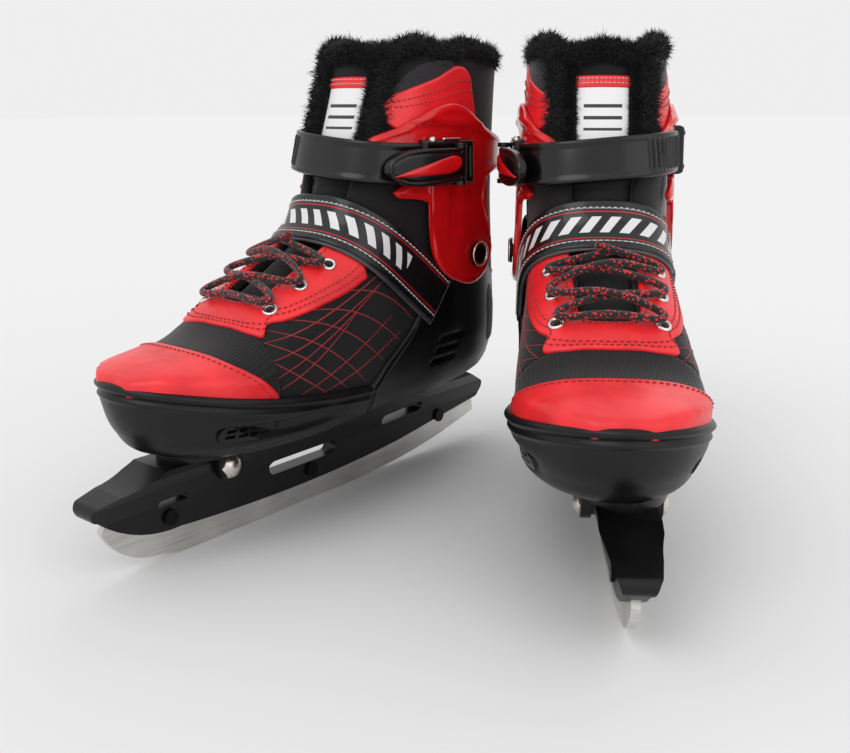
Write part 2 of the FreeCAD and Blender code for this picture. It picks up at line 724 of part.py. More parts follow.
def cuff():
    ring = cuff_body(0.0).cut(cuff_body(cuff_wall))
    region = side_region(
        (4.0, 202.0), (3.0, 207.0), (-17.0, 211.5), (-48.0, 222.0), (-58.0, 225.5, -70.0, 226.0),
        (-84.0, 223.0, -96.0, 214.0), (-160.0, 206.0), (-160.0, 186.0), (-104.0, 186.0),
        (-91.0, 178.0, -93.5, 164.0), (-100.0, 152.0), (-106.5, 140.0),
        (-88.0, 120.5, -67.0, 130.0), (-58.0, 140.0), (-49.0, 158.0), (-46.5, 176.0),
        (-22.0, 175.0), (-19.0, 180.5), (-46.0, 188.0), (-48.0, 199.0), (-14.0, 199.0))
    body = ring.common(region)
    body = body.cut(box((-60.0, -cuff_opening, 150.0), (60.0, cuff_opening, 300.0)))
    body = biggest(body)
    for side in (-1, 1):
        boss = rod((pivot_x, side * boss_inner, pivot_z), (pivot_x, side * boss_outer, pivot_z),
                   pivot_head_r + 2.5)
        bore = rod((pivot_x, side * (boss_inner - 3), pivot_z), (pivot_x, side * 90, pivot_z),
                   pivot_r + pivot_gap)
        body = body.fuse(boss).cut(bore)
    return biggest(body)


def cuff_rivets():
    solids = []
    for side in (-1, 1):
        shank = rod((pivot_x, side * (boss_inner - 3.9), pivot_z),
                    (pivot_x, side * (boss_outer + 0.2), pivot_z), pivot_r)
        head = rod((pivot_x, side * (boss_outer + 0.1), pivot_z),
                   (pivot_x, side * (boss_outer + 2.0), pivot_z), pivot_head_r)
        dimple = rod((pivot_x, side * (boss_outer + 1.2), pivot_z), (pivot_x, side * 90, pivot_z), pivot_r)
        solids.append(biggest(shank.fuse(head).cut(dimple)))
    return Part.makeCompound(solids)


def slanted_slab(spread, x_low, x_high):
    """The slightly tilted level band that the ratchet strap lies in."""
    points = [Vector(x_low, y, strap_mid_z + strap_slope * y + side * (strap_width / 2 + spread))
              for side, y in ((-1, -80), (-1, 80), (1, 80), (1, -80), (-1, -80))]
    return Part.Face(Part.makePolygon(points)).extrude(Vector(x_high - x_low, 0, 0))


def strap_layer(low, high):
    """A skin that stands off the cuff's outer face, from low to high."""
    return cuff_body(-high).cut(cuff_body(-low))


def ratchet_strap():
    band = strap_layer(strap_lift, strap_lift + strap_thick).common(slanted_slab(0.0, -76.0, 60.0))
    return biggest(band.cut(box((-90.0, -90.0, 100.0), (-60.0, 0.0, 300.0))))


def strap_channel():
    channel = strap_layer(strap_lift - 0.1, strap_lift + strap_thick + 0.1)
    return channel.common(slanted_slab(0.1, -120.0, 60.0))


def strap_anchor():
    block = strap_layer(cuff_seat, strap_lift + strap_thick + 2.4).common(slanted_slab(2.2, -64.0, -38.0))
    block = block.common(box((-90, -90, 100), (60, 0, 300)))
    return biggest(block.cut(strap_channel().common(box((-60.1, -90, 100), (60, 90, 300)))))


def buckle_base():
    block = strap_layer(cuff_seat, strap_lift + strap_thick + 2.2).common(slanted_slab(1.8, -80.0, -32.0))
    block = block.common(box((-90, 0, 100), (60, 90, 300))).cut(strap_channel())
    pieces = [biggest(block)]
    for side in (-1, 1):
        low, high = sorted((lever_z + side * (lever_half + 0.3), lever_z + side * (lever_half + 3.0)))
        pieces.append(box((lever_hinge_x - 3.2, lever_y - 5.0, low), (lever_hinge_x + 3.2, lever_y, high)))
        pieces.append(Part.makeCylinder(3.2, high - low, Vector(lever_hinge_x, lever_y, low)))
    base = fuse_all(pieces)
    return biggest(base.cut(Part.makeCylinder(lever_pin_r, 60, Vector(lever_hinge_x, lever_y, lever_z - 30))))


def buckle_pin():
    reach = lever_half + 3.0
    return Part.makeCylinder(lever_pin_r, 2 * reach, Vector(lever_hinge_x, lever_y, lever_z - reach))


def buckle_lever():
    tip = lever_hinge_x + lever_length
    plate = side_plate(outline_wire(
        (lever_hinge_x, lever_z - lever_half), (tip - 12.0, lever_z - lever_half - 0.8),
        (tip, lever_z, tip - 12.0, lever_z + lever_half + 0.8),
        (lever_hinge_x, lever_z + lever_half)), lever_y - 2.0, lever_y - 2.0 + lever_thick)
    barrel = Part.makeCylinder(2.6, 2 * lever_half, Vector(lever_hinge_x, lever_y, lever_z - lever_half))
    lever = fuse_all([plate, barrel])
    bore = Part.makeCylinder(lever_pin_r + pin_gap, 60, Vector(lever_hinge_x, lever_y, lever_z - 30))
    above = box((-120, 0, lever_z + lever_half), (lever_hinge_x + 5.0, 90, 300))
    below = box((-120, 0, 100), (lever_hinge_x + 5.0, 90, lever_z - lever_half))
    return biggest(lever.cut([bore, above, below]))


# ---------------------------------------------------------------- one skate, and the pair

def skate():
    outer, inner = shell_body(0.0), shell_body(shell_wall)
    sleeve_out = shell_body(shell_wall + sleeve_gap)
    sleeve_in = shell_body(shell_wall + sleeve_gap + sleeve_wall)
    parts = {"blade": blade(), "blade_holder": holder(), "blade_rivets": rivets(), "frame_bolts": frame_bolts(),
             "sole_plate": sole_plate()}
    for shape in parts.values():
        shape.translate(Vector(0, frame_side, 0))
    parts.update({"toe_shell": toe_shell(outer, inner, sleeve_out, sleeve_in),
                  "toe_vents": toe_vents(outer, inner), "heel_shell": heel_shell(outer, inner),
                  "size_button": size_button(), "button_spring": button_spring(), "footbed": footbed()})
    ring_space = shell_body(shell_wall + sleeve_gap + sleeve_wall + soft_gap)
    upper_space = shell_body(shell_wall + soft_gap)
    boot_parts(parts, ring_space, upper_space)
    skin = band_skin()
    parts.update({"tongue": tongue(), "fur_collar": fur_collar(), "eyestay": eyestay(), "eyelets": eyelets(),
                  "laces": lace(), "instep_strap": instep_strap(skin), "strap_tip": strap_tip(skin),
                  "cuff": cuff(), "cuff_rivets": cuff_rivets(), "ratchet_strap": ratchet_strap(),
                  "strap_anchor": strap_anchor(), "buckle_base": buckle_base(), "buckle_pin": buckle_pin(),
                  "buckle_lever": buckle_lever()})
    return parts


def placed(shape, name, centre):
    """A left-foot shape set in the pair: mirrored for the right foot, turned and moved."""
    spot = stand[name]
    if spot["outer"] < 0:
        shape = shape.mirror(Vector(0, 0, 0), Vector(0, 1, 0))
    turned = shape.copy()
    turned.rotate(Vector(0, 0, 0), Vector(0, 0, 1), -90.0 - spot["toe_turn"])
    turned.translate(Vector(spot["x"] - centre.x, spot["y"] - centre.y, 0))
    return turned


def pair_centre(parts):
    """Middle of the standing pair in plan."""
    shapes = [placed(shape, side, Vector(0, 0, 0)) for shape in parts.values() for side in stand]
    bounds = Part.makeCompound(shapes).optimalBoundingBox(False)
    return Vector(bounds.Center.x, bounds.Center.y, 0)


def build():
    parts = skate()
    centre = pair_centre(parts)
    os.makedirs("parts", exist_ok=True)
    for name, shape in parts.items():
        for side in stand:
            placed(shape, side, centre).exportStep("parts/%s_%s.step" % (side, name))


build()
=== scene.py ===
import json
import math
import bpy
import numpy as np
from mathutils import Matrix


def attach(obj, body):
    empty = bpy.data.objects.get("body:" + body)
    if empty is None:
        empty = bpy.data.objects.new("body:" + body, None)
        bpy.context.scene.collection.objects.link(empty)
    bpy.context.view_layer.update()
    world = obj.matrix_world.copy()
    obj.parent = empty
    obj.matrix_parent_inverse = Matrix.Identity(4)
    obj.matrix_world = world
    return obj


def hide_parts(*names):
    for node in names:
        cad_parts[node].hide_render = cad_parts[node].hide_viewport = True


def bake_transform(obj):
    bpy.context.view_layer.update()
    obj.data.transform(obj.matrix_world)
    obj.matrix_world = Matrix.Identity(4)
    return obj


# A pair of adjustable ice skates: soft boots in black plastic shells, with red cuffs, ratchet buckles and steel
# blades. Each skate is worked out in its own frame in millimetres, x to the toe, y to the outer side and z up
# from the ice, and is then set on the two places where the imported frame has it.

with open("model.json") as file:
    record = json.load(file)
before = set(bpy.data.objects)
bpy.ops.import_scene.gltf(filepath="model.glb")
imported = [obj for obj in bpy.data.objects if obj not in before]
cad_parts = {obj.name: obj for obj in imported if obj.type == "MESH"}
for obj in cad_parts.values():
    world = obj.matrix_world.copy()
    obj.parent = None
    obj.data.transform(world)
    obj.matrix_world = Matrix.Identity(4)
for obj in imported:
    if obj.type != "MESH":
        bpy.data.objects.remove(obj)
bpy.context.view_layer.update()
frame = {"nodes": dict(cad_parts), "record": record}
print("frame loaded")

mounts = {m["name"]: np.array(m["pos_m"], float) for m in frame["record"]["mounts"]}
edgeSpot = np.array([34.0, -7.0, 0.0])      # where the blade edge's mount is, in the skate's own frame
mouthSpot = np.array([-80.0, 0.0, 259.0])   # and the foot opening's


def skateFrame(side):
    # the line from the mouth to the blade edge is turned in plan until it runs as in the skate's own frame
    hand = 1 if side == "left" else -1
    along, across = (edgeSpot - mouthSpot)[:2]
    line = (mounts[side + "_blade_edge"] - mounts[side + "_foot_opening"])[:2]
    forward = along * line + hand * across * np.array([line[1], -line[0]])
    forward = forward / np.linalg.norm(forward)
    outward = np.array([-forward[1], forward[0]]) * hand
    origin = mounts[side + "_foot_opening"][:2] - forward * mouthSpot[0] / 1000
    return {"origin": origin, "forward": forward, "outward": outward}


sides = {side: skateFrame(side) for side in ("left", "right")}


def toWorld(points, side):
    # skate millimetres to world metres
    f = sides[side]
    points = np.asarray(points, float)
    plan = (f["origin"] + np.outer(points[:, 0], f["forward"]) / 1000
            + np.outer(points[:, 1], f["outward"]) / 1000)
    return np.column_stack([plan, points[:, 2] / 1000])


view = {"spot": (-50.6, -525.5, 224.7), "turn": 4.5, "pitch": 74.8, "lens": 42.1}
rightOrigin = sides["right"]["origin"]
bpy.context.scene.view_settings.view_transform = "Standard"   # keeps the reds as they are
cameraData = bpy.data.cameras.new("camera")
cameraData.lens = view["lens"]
cameraData.sensor_width = 36.0
camera = bpy.data.objects.new("camera", cameraData)
camera.location = (rightOrigin[0] + view["spot"][0] / 1000, rightOrigin[1] + view["spot"][1] / 1000,
                   view["spot"][2] / 1000)
camera.rotation_euler = (math.radians(view["pitch"]), 0, math.radians(view["turn"]))
bpy.context.scene.collection.objects.link(camera)
bpy.context.scene.camera = camera


def hexColour(code):
    # an sRGB hex value as linear light
    parts = [int(code[i:i + 2], 16) / 255 for i in (1, 3, 5)]
    return tuple(c / 12.92 if c <= 0.04045 else ((c + 0.055) / 1.055) ** 2.4 for c in parts) + (1.0,)


def addNode(tree, kind, inputs=None, output=0, stops=(), **settings):
    # one node with its settings, its inputs as values or links, and a ramp's stops; with output None, all outputs
    node = tree.nodes.new("ShaderNode" + kind)
    for name, value in settings.items():
        setattr(node, name, value)
    for key, value in (inputs or {}).items():
        if isinstance(value, bpy.types.NodeSocket):
            tree.links.new(value, node.inputs[key])
        else:
            node.inputs[key].default_value = value
    for number, (place, value) in enumerate(stops):
        element = node.color_ramp.elements[number]
        element.position = place
        element.color = hexColour(value) if isinstance(value, str) else (value, value, value, 1)
    return node.outputs if output is None else node.outputs[output]


def newMaterial(name, **shader):
    # a material with its Principled shader and whatever is the same all over
    material = bpy.data.materials.new(name)
    material.use_nodes = True
    tree = material.node_tree
    main = next(n for n in tree.nodes if n.type == "BSDF_PRINCIPLED")
    for key, value in shader.items():
        main.inputs[key.replace("_", " ")].default_value = value
    return material, tree, main


def feed(tree, main, **sources):
    # links what the nodes work out to the shader's sockets
    for key, source in sources.items():
        tree.links.new(source, main.inputs[key.replace("_", " ")])


def skateSpace(tree):
    # the piece's own coordinates, in millimetres of the skate's frame
    return addNode(tree, "Attribute", output="Vector", attribute_name="skate")


def objectSpace(tree):
    # object coordinates in millimetres, for the pieces that come from the frame
    place = addNode(tree, "TexCoord", output="Object")
    return addNode(tree, "VectorMath", {0: place, 1: (1000.0,) * 3}, operation="MULTIPLY")


def sineWave(tree, along, pitch):
    # a wave from -1 to 1 with this pitch in millimetres
    turn = addNode(tree, "Math", {0: along, 1: 2 * math.pi / pitch}, operation="MULTIPLY")
    return addNode(tree, "Math", {0: turn}, operation="SINE")


def leatherMaterial(name, colour, dark, rough):
    # polyurethane leather, calendered: pebbles about 0.9 mm across under a thin gloss coat
    material, tree, main = newMaterial(name, Coat_Weight=0.25, Coat_Roughness=0.25, Specular_IOR_Level=0.45)
    where = skateSpace(tree)
    pebbles = addNode(tree, "TexVoronoi", {"Vector": where, "Scale": 1.1}, "Distance",
                      feature="DISTANCE_TO_EDGE")
    folds = addNode(tree, "TexNoise", {"Vector": where, "Scale": 0.06, "Detail": 4.0})
    feed(tree, main,
         Base_Color=addNode(tree, "ValToRGB", {0: folds}, stops=[(0.3, dark), (0.62, colour)]),
         Roughness=addNode(tree, "ValToRGB", {0: folds}, stops=[(0.25, rough + 0.1), (0.75, rough - 0.05)]),
         Normal=addNode(tree, "Bump", {"Height": pebbles, "Strength": 0.35, "Distance": 0.0002}))
    return material


def mouldedMaterial(name, colour, worn, rough, grain, depth, space, coat=0.0):
    # injection-moulded plastic: spark-eroded grain of the given size in mm, with slightly duller patches
    material, tree, main = newMaterial(name, Coat_Weight=coat, Coat_Roughness=0.12, Specular_IOR_Level=0.3)
    where = space(tree)
    fine = addNode(tree, "TexNoise", {"Vector": where, "Scale": 1.0 / grain, "Detail": 3.0})
    broad = addNode(tree, "TexNoise", {"Vector": where, "Scale": 0.035, "Detail": 5.0, "Roughness": 0.6})
    feed(tree, main,
         Base_Color=addNode(tree, "ValToRGB", {0: broad}, stops=[(0.35, worn), (0.6, colour)]),
         Roughness=addNode(tree, "ValToRGB", {0: broad}, stops=[(0.3, rough + 0.08), (0.7, rough)]),
         Normal=addNode(tree, "Bump", {"Height": fine, "Strength": 0.3, "Distance": depth}))
    return material


def metalMaterial(name, colour, rough, space, bright="#F4F1EC"):
    # plated or blackened steel and brass: faint tumbling marks about half a millimetre apart
    material, tree, main = newMaterial(name, Metallic=1.0)
    marks = addNode(tree, "TexNoise", {"Vector": space(tree), "Scale": 2.0, "Detail": 6.0})
    feed(tree, main,
         Base_Color=addNode(tree, "ValToRGB", {0: marks}, stops=[(0.35, colour), (0.7, bright)]),
         Roughness=addNode(tree, "ValToRGB", {0: marks}, stops=[(0.3, rough), (0.75, rough + 0.14)]),
         Normal=addNode(tree, "Bump", {"Height": marks, "Strength": 0.12, "Distance": 0.0001}))
    return material


def weaveMaterial(name, colour, light, pitch, axes, rib=0.0):
    # woven or knitted polyester: threads pitch mm apart along two axes, and ribs along the first where rib is set
    material, tree, main = newMaterial(name, Roughness=0.72, Sheen_Weight=0.25, Sheen_Roughness=0.4,
                                       Specular_IOR_Level=0.3)
    parts = addNode(tree, "SeparateXYZ", {0: skateSpace(tree)}, None)
    warp, weft = (sineWave(tree, parts[axis], pitch) for axis in axes)
    cross = addNode(tree, "Math", {0: warp, 1: weft}, operation="MULTIPLY")
    ribs = addNode(tree, "Math", {0: warp, 1: rib}, operation="MULTIPLY")
    cross = addNode(tree, "Math", {0: cross, 1: 1 - rib * 0.6, 2: ribs}, operation="MULTIPLY_ADD")
    height = addNode(tree, "Math", {0: cross, 1: 0.4, 2: 0.5}, operation="MULTIPLY_ADD")
    # the colour rises from the base tone in the weave's hollows to the lighter one on its crests: painted shade
    # in the hollows, painted light on the crests
    feed(tree, main,
         Base_Color=addNode(tree, "ValToRGB", {0: height}, stops=[(0.2, colour), (0.95, light)]),
         Normal=addNode(tree, "Bump", {"Height": height, "Strength": 0.6, "Distance": 0.0003}))
    return material


def threadMaterial(name, colour, tip):
    # bonded polyester thread or ink: two tones, in patches under a millimetre
    material, tree, main = newMaterial(name, Roughness=0.5, Sheen_Weight=0.2)
    tone = addNode(tree, "TexNoise", {"Vector": skateSpace(tree), "Scale": 1.5, "Detail": 2.0})
    feed(tree, main, Base_Color=addNode(tree, "ValToRGB", {0: tone}, stops=[(0.4, colour), (0.65, tip)]))
    return material


def bladeMaterial():
    # stainless steel, ground and brushed: streaks along the blade 0.3 mm apart, drawn 4 times as coarse
    material, tree, main = newMaterial("stainless_steel_ground", Metallic=1.0)
    where = objectSpace(tree)
    streaks = addNode(tree, "Mapping", {"Vector": where, "Scale": (0.02, 0.02, 0.8)})
    lines = addNode(tree, "TexNoise", {"Vector": streaks, "Scale": 1.0, "Detail": 6.0, "Roughness": 0.65})
    cloud = addNode(tree, "TexNoise", {"Vector": where, "Scale": 0.03, "Detail": 3.0})
    half = addNode(tree, "Math", {0: lines, 1: 0.5}, operation="MULTIPLY")
    tone = addNode(tree, "Math", {0: cloud, 1: 0.5, 2: half}, operation="MULTIPLY_ADD")
    feed(tree, main,
         Base_Color=addNode(tree, "ValToRGB", {0: tone}, stops=[(0.35, "#C2BFBB"), (0.65, "#F1EFEC")]),
         Roughness=addNode(tree, "ValToRGB", {0: lines}, stops=[(0.3, 0.26), (0.7, 0.42)]),
         Normal=addNode(tree, "Bump", {"Height": lines, "Strength": 0.25, "Distance": 0.0001}))
    return material


def furMaterial():
    # acrylic pile: matt black hair, a little greyer in patches
    material, tree, main = newMaterial("acrylic_pile_black", Roughness=0.75, Sheen_Weight=0.12,
                                       Sheen_Roughness=0.5, Specular_IOR_Level=0.2)
    tone = addNode(tree, "TexNoise", {"Vector": skateSpace(tree), "Scale": 0.35, "Detail": 3.0})
    feed(tree, main,
         Base_Color=addNode(tree, "ValToRGB", {0: tone}, stops=[(0.35, "#020202"), (0.7, "#0E0E0F")]))
    return material


def labelMaterial():
    # woven damask label: white satin with a fine weft, 0.5 mm threads drawn twice as coarse
    material, tree, main = newMaterial("woven_damask_white", Roughness=0.5, Sheen_Weight=0.3)
    parts = addNode(tree, "SeparateXYZ", {0: skateSpace(tree)}, None)
    cross = addNode(tree, "Math", {0: sineWave(tree, parts[2], 1.0), 1: sineWave(tree, parts[1], 1.0)},
                    operation="MULTIPLY")
    height = addNode(tree, "Math", {0: cross, 1: 0.4, 2: 0.5}, operation="MULTIPLY_ADD")
    # woven stripes 1.8 mm high every 6 mm take the place of any wording, in a field 20 mm wide
    stripe = addNode(tree, "Math", {0: parts[2], 1: 6.0}, operation="MODULO")
    stripe = addNode(tree, "Math", {0: stripe, 1: 3.0, 2: 0.9}, operation="COMPARE")
    for axis, middle, half in ((2, 220.5, 8.0), (1, 0.0, 10.0)):
        inside = addNode(tree, "Math", {0: parts[axis], 1: middle, 2: half}, operation="COMPARE")
        stripe = addNode(tree, "Math", {0: stripe, 1: inside}, operation="MULTIPLY")
    # the white is painted darker in the weave's hollows and lighter on its crests: painted shade and painted
    # light
    white = addNode(tree, "ValToRGB", {0: height}, stops=[(0.1, "#DDDDDF"), (0.9, "#FAFAFA")])
    dark = hexColour("#2A2A2C")
    feed(tree, main,
         Base_Color=addNode(tree, "Mix", {0: stripe, 6: white, 7: dark}, 2, data_type="RGBA"),
         Normal=addNode(tree, "Bump", {"Height": height, "Strength": 0.4, "Distance": 0.0002}))
    return material


def patentMaterial():
    # patent leather: a thick clear coat over black, printed with slanted bars between thin lines
    material, tree, main = newMaterial("patent_leather_black", Roughness=0.34, Coat_Weight=0.35,
                                       Coat_Roughness=0.08, Specular_IOR_Level=0.3)
    run, across, _ = addNode(tree, "SeparateXYZ", {0: addNode(tree, "UVMap")}, None)
    # bars every 9.5 mm, half of it wide, leaning, in the middle 11 mm of the band
    lean = addNode(tree, "Math", {0: across, 1: 0.55, 2: run}, operation="MULTIPLY_ADD")
    lean = addNode(tree, "Math", {0: lean, 1: 9.5}, operation="DIVIDE")
    bars = addNode(tree, "Math", {0: lean}, operation="FRACT")
    bars = addNode(tree, "Math", {0: bars, 1: 0.5}, operation="LESS_THAN")
    for place, middle, half in ((across, 15.0, 5.6), (run, 0.0, 62.0)):
        inside = addNode(tree, "Math", {0: place, 1: middle, 2: half}, operation="COMPARE")
        bars = addNode(tree, "Math", {0: bars, 1: inside}, operation="MULTIPLY")
    lines = []
    for places, half in (((6.2, 24.4), 0.35), ((4.6, 26.2), 0.22)):
        pair = [addNode(tree, "Math", {0: across, 1: place, 2: half}, operation="COMPARE")
                for place in places]
        lines.append(addNode(tree, "Math", dict(enumerate(pair)), operation="ADD"))
    noise = addNode(tree, "TexNoise", {"Vector": skateSpace(tree), "Scale": 0.35, "Detail": 4.0})
    base = addNode(tree, "ValToRGB", {0: noise}, stops=[(0.35, "#0B0B0C"), (0.7, "#17171A")])
    for share, colour in ((bars, "#DCDBDD"), (lines[0], "#B8151B"), (lines[1], "#9A999C")):
        base = addNode(tree, "Mix", {0: share, 6: base, 7: hexColour(colour)}, 2, data_type="RGBA")
    feed(tree, main, Base_Color=base,
         Normal=addNode(tree, "Bump", {"Height": noise, "Strength": 0.25, "Distance": 0.0006}))
    return material


def laceMaterial():
    # round braided polyester: 1.6 mm plaits, drawn a little coarse, with red fleck yarns
    material, tree, main = newMaterial("braided_polyester_black", Roughness=0.75, Sheen_Weight=0.25)
    turning, along, _ = addNode(tree, "SeparateXYZ", {0: addNode(tree, "UVMap")}, None)
    plait, turn = sineWave(tree, along, 1.6), sineWave(tree, turning, 0.25)
    height = addNode(tree, "Math", {0: plait, 1: turn}, operation="MULTIPLY")
    height = addNode(tree, "Math", {0: height, 1: 0.5, 2: 0.5}, operation="MULTIPLY_ADD")
    fleck = addNode(tree, "TexVoronoi", {"Vector": skateSpace(tree), "Scale": 0.55}, "Distance")
    red = addNode(tree, "Math", {0: fleck, 1: 0.36}, operation="LESS_THAN")
    # the black is painted darker in the plait's hollows and lighter on its crests: painted shade and painted
    # light
    black = addNode(tree, "ValToRGB", {0: height}, stops=[(0.0, "#040404"), (1.0, "#161517")])
    feed(tree, main,
         Base_Color=addNode(tree, "Mix", {0: red, 6: black, 7: hexColour("#DE1C22")}, 2, data_type="RGBA"),
         Normal=addNode(tree, "Bump", {"Height": height, "Strength": 0.7, "Distance": 0.0005}))
    return material


redLeather = leatherMaterial("polyurethane_leather_red", "#F2222A", "#D9141C", 0.42)
pipingGrey = leatherMaterial("polyurethane_piping_grey", "#4A4A4E", "#343438", 0.4)
redAbs = mouldedMaterial("abs_moulded_gloss_red", "#E0161C", "#C80F15", 0.2, 0.7, 0.00004, skateSpace,
                         coat=0.5)
shellNylon = mouldedMaterial("nylon_moulded_satin_black", "#0B0B0B", "#121213", 0.34, 0.45, 0.00008,
                             skateSpace)
holderNylon = mouldedMaterial("glass_filled_nylon_moulded_black", "#0A0A0B", "#111112", 0.28, 0.5, 0.00006,
                              objectSpace)
blackAcetal = mouldedMaterial("acetal_moulded_gloss_black", "#070708", "#0D0D0E", 0.26, 0.6, 0.00003,
                              skateSpace, coat=0.3)
plainAcetal = mouldedMaterial("acetal_moulded_frame_black", "#090909", "#101011", 0.24, 0.6, 0.00003,
                              objectSpace)
buttonRed = mouldedMaterial("polypropylene_moulded_red", "#B3121A", "#960E14", 0.35, 0.6, 0.00003,
                            objectSpace)
platedSteel = metalMaterial("zinc_plated_steel", "#BEB9AE", 0.2, objectSpace)
blackSteel = metalMaterial("black_oxide_steel", "#1B1B1C", 0.35, objectSpace, "#2A2A2B")
eyeletBrass = metalMaterial("nickel_plated_brass", "#D9D7D2", 0.16, skateSpace)
bladeSteel = bladeMaterial()
sideMesh = weaveMaterial("polyester_mesh_black", "#070708", "#161619", 1.5, (0, 2))
vampMesh = weaveMaterial("ballistic_nylon_ribbed_black", "#080809", "#1D1D20", 2.0, (1, 0), rib=0.6)
liningCloth = weaveMaterial("brushed_polyester_lining", "#0A0A0A", "#161617", 1.2, (1, 2))
crescentCloth = weaveMaterial("jacquard_polyester_grey", "#161618", "#38383D", 2.2, (0, 2))
webbing = weaveMaterial("polypropylene_webbing_black", "#070707", "#1F1F22", 1.6, (1, 2), rib=0.5)
redThread = threadMaterial("bonded_thread_dark_red", "#8E0E13", "#B5161C")
paleThread = threadMaterial("bonded_thread_silver", "#B9B6B4", "#E4E2E0")
printRed = threadMaterial("screen_print_ink_red", "#8E1216", "#B0181D")
furPile = furMaterial()
labelCloth = labelMaterial()
patentBlack = patentMaterial()
laceBraid = laceMaterial()
print("materials made")


def smoothTable(table, at):
    # cubic through a table's rows, with slopes from the neighbours (the first column is the place)
    table = np.asarray(table, float)
    if table[0, 0] > table[-1, 0]:
        table = table[::-1]
    t, v = table[:, 0], table[:, 1:]
    slope = np.gradient(v, t, axis=0)
    at = np.clip(np.asarray(at, float), t[0], t[-1])
    k = np.clip(np.searchsorted(t, at, side="right") - 1, 0, len(t) - 2)
    h = (t[k + 1] - t[k])
    s = (at - t[k]) / h
    s, h = s[..., None], h[..., None]
    made = ((1 + 2 * s) * (1 - s) ** 2 * v[k] + s * (1 - s) ** 2 * h * slope[k]
            + s * s * (3 - 2 * s) * v[k + 1] + s * s * (s - 1) * h * slope[k + 1])
    return np.moveaxis(made, -1, 0)


def around(count):
    # the angles of a full turn in even steps
    return np.linspace(0, 2 * math.pi, count, endpoint=False)


def runLength(path):
    # the length along a path up to each of its points
    return np.concatenate([[0], np.cumsum(np.linalg.norm(np.diff(path, axis=0), axis=1))])


def alongPath(at, run, values):
    # the values of a path's points, read off between them at lengths along it
    return np.column_stack([np.interp(at, run, values[:, i]) for i in range(values.shape[1])])


def curve(points, count):
    # smooth curve through points, at even steps along it
    points = np.asarray(points, float)
    steps = runLength(points)
    fine = smoothTable(np.column_stack([steps, points]), np.linspace(0, steps[-1], 400)).T
    run = runLength(fine)
    return alongPath(np.linspace(0, 1, count) * run[-1], run, fine)


boot = {"floor": 63.0, "heelLift": 11.0, "liftFront": -30.0, "liftRear": -72.0, "footPower": 2.5,
        "solePower": 4.5, "shaftPower": 2.9, "fillet": 6.0}
# (x, half width, top) of the foot's upright sections
footSections = [(146, 34, 94), (141, 38, 99.5), (134, 40.5, 102.6), (126, 42, 104.8), (110, 43, 107.4),
                (85, 44, 113), (60, 43, 129), (20, 40, 151), (-15, 37.5, 171), (-45, 36, 176),
                (-90, 35.5, 150), (-125, 28, 118), (-138, 12, 100)]
# (z, front x, back x, half width) of the shaft's and the cuff's levels
shaftLevels = [(80, 12, -139, 35), (110, 14, -140, 36), (140, 10, -138, 36.4), (170, 1, -134, 37.4),
               (200, -9, -132, 38.6), (225, -18, -133, 38.0), (262, -29, -137, 36.4)]
cuffLevels = [(100, 14, -144.5, 44.3), (140, 11, -143.5, 44.3), (170, 4, -139, 43.6), (200, -4, -136.5, 42.8),
              (240, -17, -138, 43.6)]


def superField(a, b, power):
    # superellipse: the power-th root of the two powers' sum, less 1, so 0 on the curve and below 0 inside
    return (np.abs(a) ** power + np.abs(b) ** power) ** (1 / power) - 1


def shaftField(p, table=shaftLevels):
    # about how far p is outside a stack of level superellipses, in mm
    front, back, half = smoothTable(table, p[..., 2])
    middle, reach = (front + back) / 2, (front - back) / 2
    inside = superField((p[..., 0] - middle) / reach, p[..., 1] / half, boot["shaftPower"]) * half
    return inside + np.maximum(0, table[0][0] - p[..., 2])


def footField(p):
    # the same for the upright sections of the foot, whose sole rises to the heel
    half, top = smoothTable(footSections, p[..., 0])
    rise = np.clip((boot["liftFront"] - p[..., 0]) / (boot["liftFront"] - boot["liftRear"]), 0, 1)
    low = boot["floor"] + rise * boot["heelLift"]
    middle, tall = (top + low) / 2, (top - low) / 2
    power = np.where(p[..., 2] > middle, boot["footPower"], boot["solePower"])
    beyond = np.maximum(0, np.maximum(p[..., 0] - footSections[0][0], footSections[-1][0] - p[..., 0]))
    return superField(p[..., 1] / half, (p[..., 2] - middle) / tall, power) * np.minimum(half, tall) + beyond


def bootField(p):
    # the smaller of the foot's and the shaft's field, less a fillet by the square of how near the two are
    a, b = footField(p), shaftField(p)
    near = np.maximum(boot["fillet"] - np.abs(a - b), 0) / boot["fillet"]
    return np.minimum(a, b) - near * near * boot["fillet"] / 4


def cuffField(p):
    # the shaft's formula on the cuff's own levels
    return shaftField(p, cuffLevels)


def castOut(field, origins, directions, far=170.0):
    # the outermost point of each ray where the field turns from inside to outside
    origins, directions = np.broadcast_arrays(np.asarray(origins, float), np.asarray(directions, float))
    directions = directions / np.linalg.norm(directions, axis=-1, keepdims=True)
    steps = np.linspace(0, far, 60)
    low = np.zeros(origins.shape[:-1])
    for t in steps[1:]:
        inside = field(origins + directions * t) < 0
        low = np.where(inside, t, low)
    high = low + steps[1]
    for _ in range(14):
        middle = (low + high) / 2
        inside = field(origins + directions * middle[..., None]) < 0
        low, high = np.where(inside, middle, low), np.where(inside, high, middle)
    return origins + directions * low[..., None]


def bothSides(points):
    # a line or grid from one side to the other: the given half, then its mirror image
    points = np.asarray(points, float)
    return np.concatenate([points, (points * [1, -1, 1])[-2::-1]])


def gridNormals(p, outFrom):
    # unit normals of a grid, turned away from outFrom
    across, along = np.gradient(p, axis=0), np.gradient(p, axis=1)
    n = np.cross(across, along)
    n /= np.maximum(np.linalg.norm(n, axis=-1, keepdims=True), 1e-9)
    flip = np.sum(n * (p - outFrom), axis=-1, keepdims=True)
    return np.where(flip < 0, -n, n)


